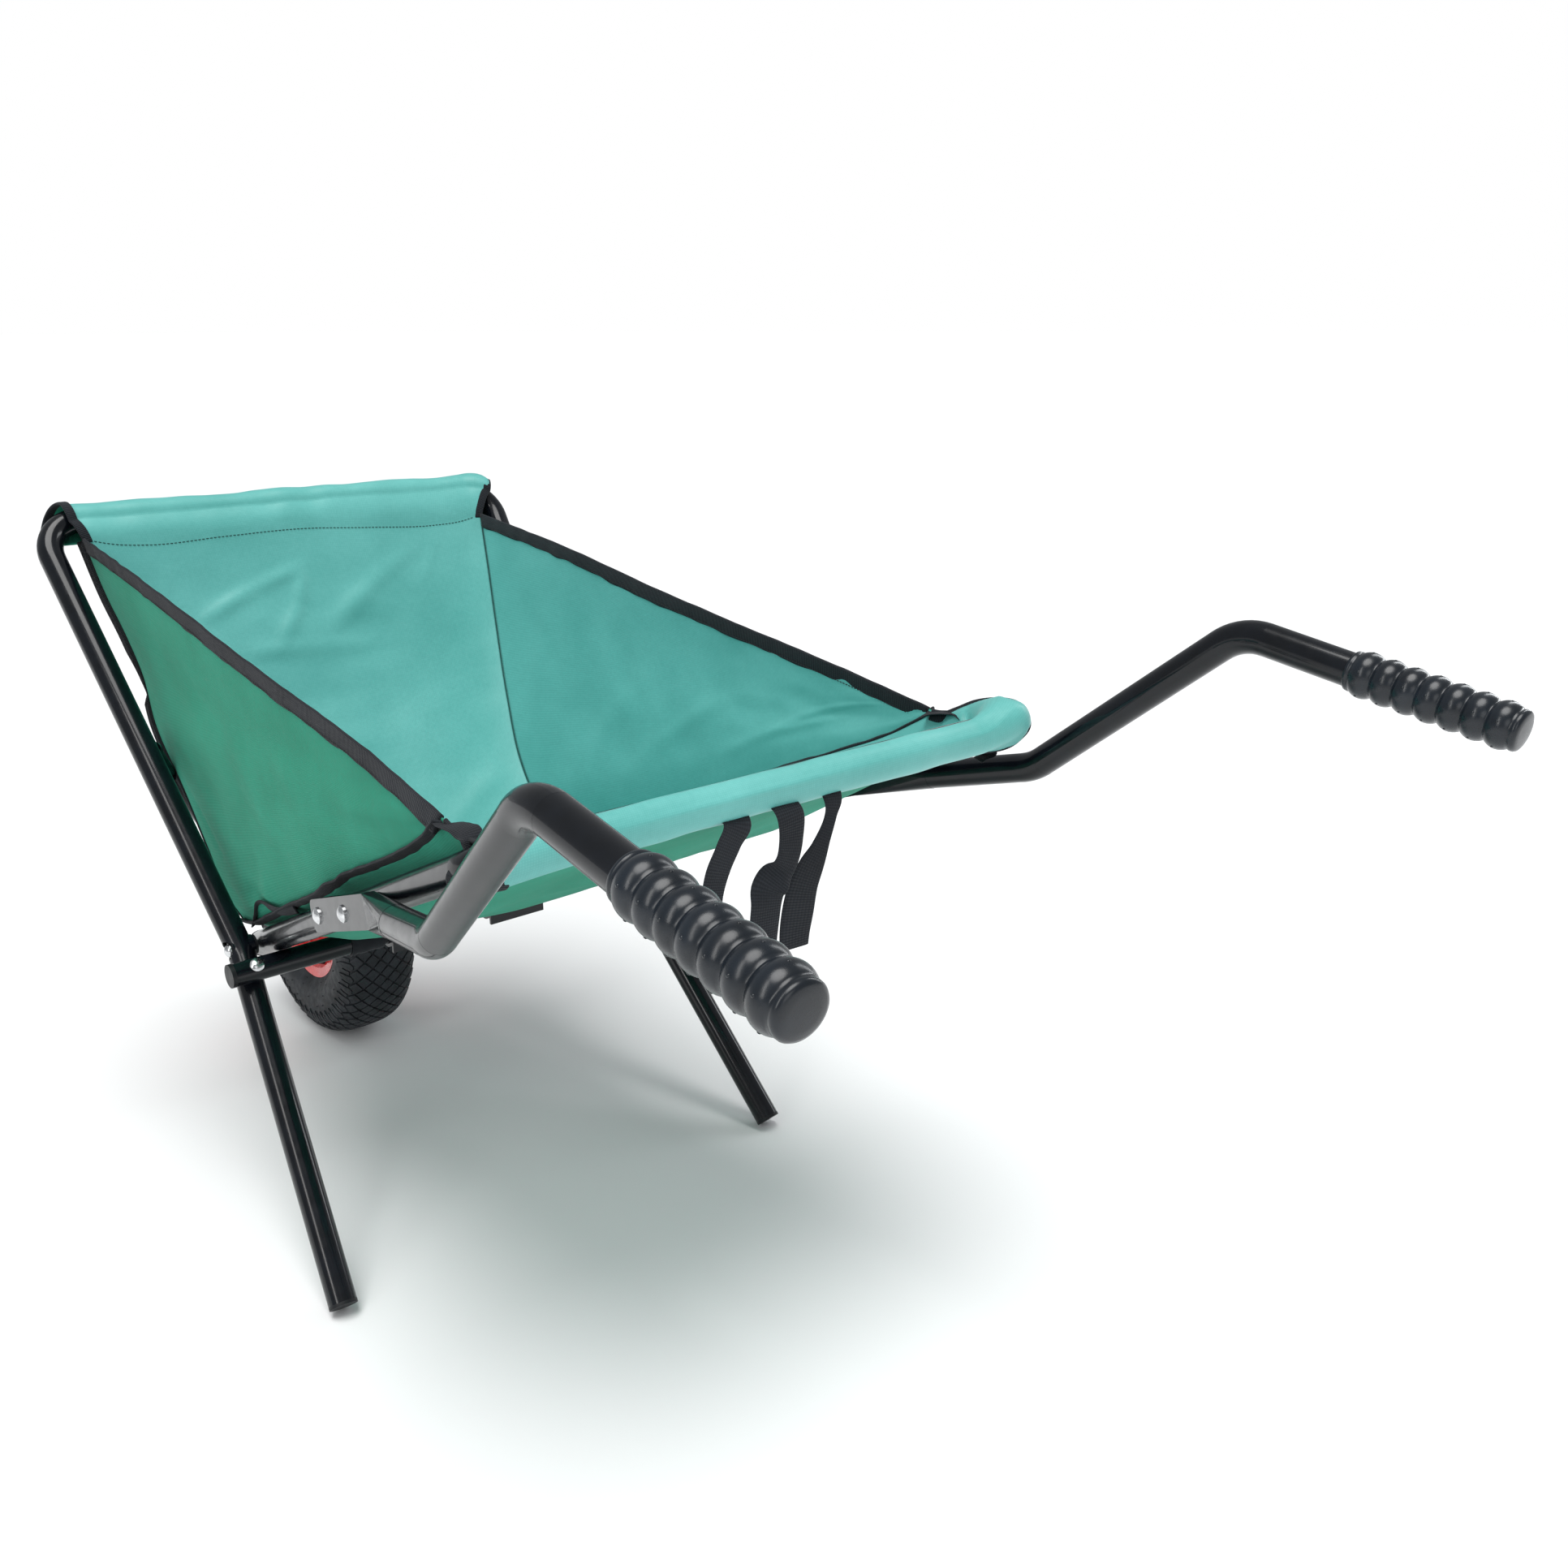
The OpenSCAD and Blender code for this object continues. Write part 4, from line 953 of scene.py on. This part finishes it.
# ---------------------------------------------------------------- webbing at the tub's corners
for tag, sgn in (("left", 1), ("right", -1)):
    L = [(-224, 221, 511.5), (-238.4, 222, 515.9), (-252, 222, 519.2), (-264, 222, 521), (-270, 223, 518.8), (-274, 225, 513), (-280, 233, 508), (-290, 246, 500), (-293, 249, 490), (-288, 240, 483)]
    R = [(-240, 231, 517), (-256, 235, 518.6), (-264.9, 235.5, 518), (-270, 236.2, 516.4), (-275, 237, 514.6), (-280, 239, 511.5), (-285, 244, 505), (-279, 252, 495), (-275, 249, 485), (-272, 239, 479)]
    L = [(x, sgn * y, z - (0 if sgn > 0 else 3.5)) for x, y, z in L]
    R = [(x, sgn * y, z - (0 if sgn > 0 else 3.5)) for x, y, z in R]
    straps.append(ribbon("web_rear_" + tag, L, R, 1.5, 60))
    # the bound end that curls out at the bottom corner
    C = [(118, 200.5, 334.5), (158, 200, 320), (187.7, 199, 314.8), (206, 198, 312.8), (221, 196.5, 306.5), (236, 194, 291), (252, 191.5, 274)]
    n_c = 50
    c = spline([(x, sgn * y, z) for x, y, z in C], n_c)
    w = np.repeat([[0.30, 0.35 * sgn, 0.85]], n_c, 0)
    t = unit(np.gradient(c, axis=0))
    turnw = np.interp(np.linspace(0, 1, n_c), [0, 0.5, 0.7, 1], [0, 0, 1, 1])[:, None]
    w = unit(w * (1 - turnw) + np.array([[-0.55, 0.62 * sgn, 0.15]]) * turnw)
    w = unit(w - (w * t).sum(1, keepdims=True) * t)
    straps.append(ribbon("web_curl_" + tag, c - w * 4.6, c + w * 4.6, 1.6, n_c, body=None, mat=TAPE))
    blended.append(straps.pop())


for ob in blended:
    if ob.name.startswith(("tub_front", "thread_hem_front", "bind_mouth_front")):
        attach(ob, "frame")
        continue
    if ob.name.startswith(("thread_hem_rear", "bind_mouth_rear")):
        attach(ob, "handle_frame")
        continue
    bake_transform(ob)
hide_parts("front_panel")
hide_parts("side_panel_left")
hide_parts("side_panel_right")
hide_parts("floor_panel")
for ob, n_ in zip(straps, ("strap_outer", "strap_middle", "strap_inner")):
    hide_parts(n_)

def flat_size(g):
    """Width, length and area in metres of a cloth grid laid out flat."""
    across = max(lengths(row)[-1] for row in g)
    along = max(lengths(g[:, j])[-1] for j in range(g.shape[1]))
    d1, d2 = g[1:, 1:] - g[:-1, :-1], g[1:, :-1] - g[:-1, 1:]
    return across * 0.001, along * 0.001, float(np.linalg.norm(np.cross(d1, d2), axis=2).sum()) * 0.5e-6


def hold(g):
    w_, l_, a_ = flat_size(g)


hold(front_all)
hold(gN)
hold(gF)
hold(floor_all)

# ---------------------------------------------------------------- floor, light and camera
def big_floor():
    n, size = 40, 60.0
    vs, fs = [], []
    for j in range(n + 1):
        for i in range(n + 1):
            vs.append(((i / n - 0.5) * 2 * size, (j / n - 0.5) * 2 * size, 0.0))
    for j in range(n):
        for i in range(n):
            a = j * (n + 1) + i
            fs.append((a, a + 1, a + n + 2, a + n + 1))
    me = bpy.data.meshes.new("studio_floor")
    me.from_pydata(vs, [], fs)
    m, nt, b = new_mat("studio_floor")
    b.inputs["Base Color"].default_value = (0.87, 0.875, 0.88, 1)
    b.inputs["Roughness"].default_value = 0.85
    me.materials.append(m)
    ob = bpy.data.objects.new("studio_floor", me)
    bpy.context.scene.collection.objects.link(ob)


big_floor()
world = bpy.data.worlds.new("studio")
bpy.context.scene.world = world
world.use_nodes = True
wt = world.node_tree
bg = wt.nodes["Background"]
bg.inputs["Color"].default_value = (0.95, 0.975, 1.0, 1)
bg.inputs["Strength"].default_value = 0.38
seen = wt.nodes.new("ShaderNodeBackground")
seen.inputs["Color"].default_value = (1, 1, 1, 1)
seen.inputs["Strength"].default_value = 1.0
path = wt.nodes.new("ShaderNodeLightPath")
mix = wt.nodes.new("ShaderNodeMixShader")
wt.links.new(path.outputs["Is Camera Ray"], mix.inputs["Fac"])
wt.links.new(bg.outputs[0], mix.inputs[1])
wt.links.new(seen.outputs[0], mix.inputs[2])
wt.links.new(mix.outputs[0], wt.nodes["World Output"].inputs["Surface"])

sun = bpy.data.lights.new("overhead", "SUN")
sun.energy = 2.75
sun.angle = math.radians(42)
sun.color = (1.0, 0.995, 0.985)
sun_ob = bpy.data.objects.new("overhead", sun)
bpy.context.scene.collection.objects.link(sun_ob)
sun_ob.rotation_mode = "QUATERNION"
sun_ob.rotation_quaternion = Vector((0.10, -0.16, -1.0)).to_track_quat("-Z", "Y")


def area(name, loc, target, size, size_y, power, color=(1, 1, 1)):
    l = bpy.data.lights.new(name, "AREA")
    l.shape = "RECTANGLE"
    l.size, l.size_y = size, size_y
    l.energy = power
    l.color = color
    ob = bpy.data.objects.new(name, l)
    bpy.context.scene.collection.objects.link(ob)
    ob.location = loc
    ob.rotation_mode = "QUATERNION"
    ob.rotation_quaternion = (Vector(target) - Vector(loc)).to_track_quat("-Z", "Y")


area("strip_left", (-0.6, 2.0, 1.7), (0, 0, 0.4), 0.35, 1.8, 13, (1, 0.99, 0.97))
area("strip_right", (-0.3, -2.3, 1.6), (0, 0, 0.4), 0.35, 2.0, 13, (0.95, 0.98, 1))
area("front_box", (-2.3, 0.9, 1.2), (-0.3, 0.1, 0.4), 1.0, 1.0, 5, (0.98, 0.99, 1))

cam = bpy.data.cameras.new("camera")
cam.sensor_fit = "HORIZONTAL"
cam.sensor_width = 36.0
cam.lens = 36.0 * 1814.77 / 1932.0
cam.clip_start, cam.clip_end = 0.01, 60
cam_ob = bpy.data.objects.new("camera", cam)
bpy.context.scene.collection.objects.link(cam_ob)
psi, theta, phi = -0.7036, 0.311, -0.0007
d = np.array([math.cos(psi) * math.cos(theta), math.sin(psi) * math.cos(theta), -math.sin(theta)])
r = np.array([math.sin(psi), -math.cos(psi), 0.0])
up = np.cross(r, d)
rot = Matrix([[r[i], up[i], -d[i]] for i in range(3)]).to_4x4()
cam_ob.matrix_world = Matrix.Translation(Vector(mm((-1077.06, 650.14, 836.89)))) @ rot @ Matrix.Rotation(phi, 4, "Z")
bpy.context.scene.camera = cam_ob
bpy.context.scene.view_settings.view_transform = "Standard"
bpy.context.scene.view_settings.look = "None"
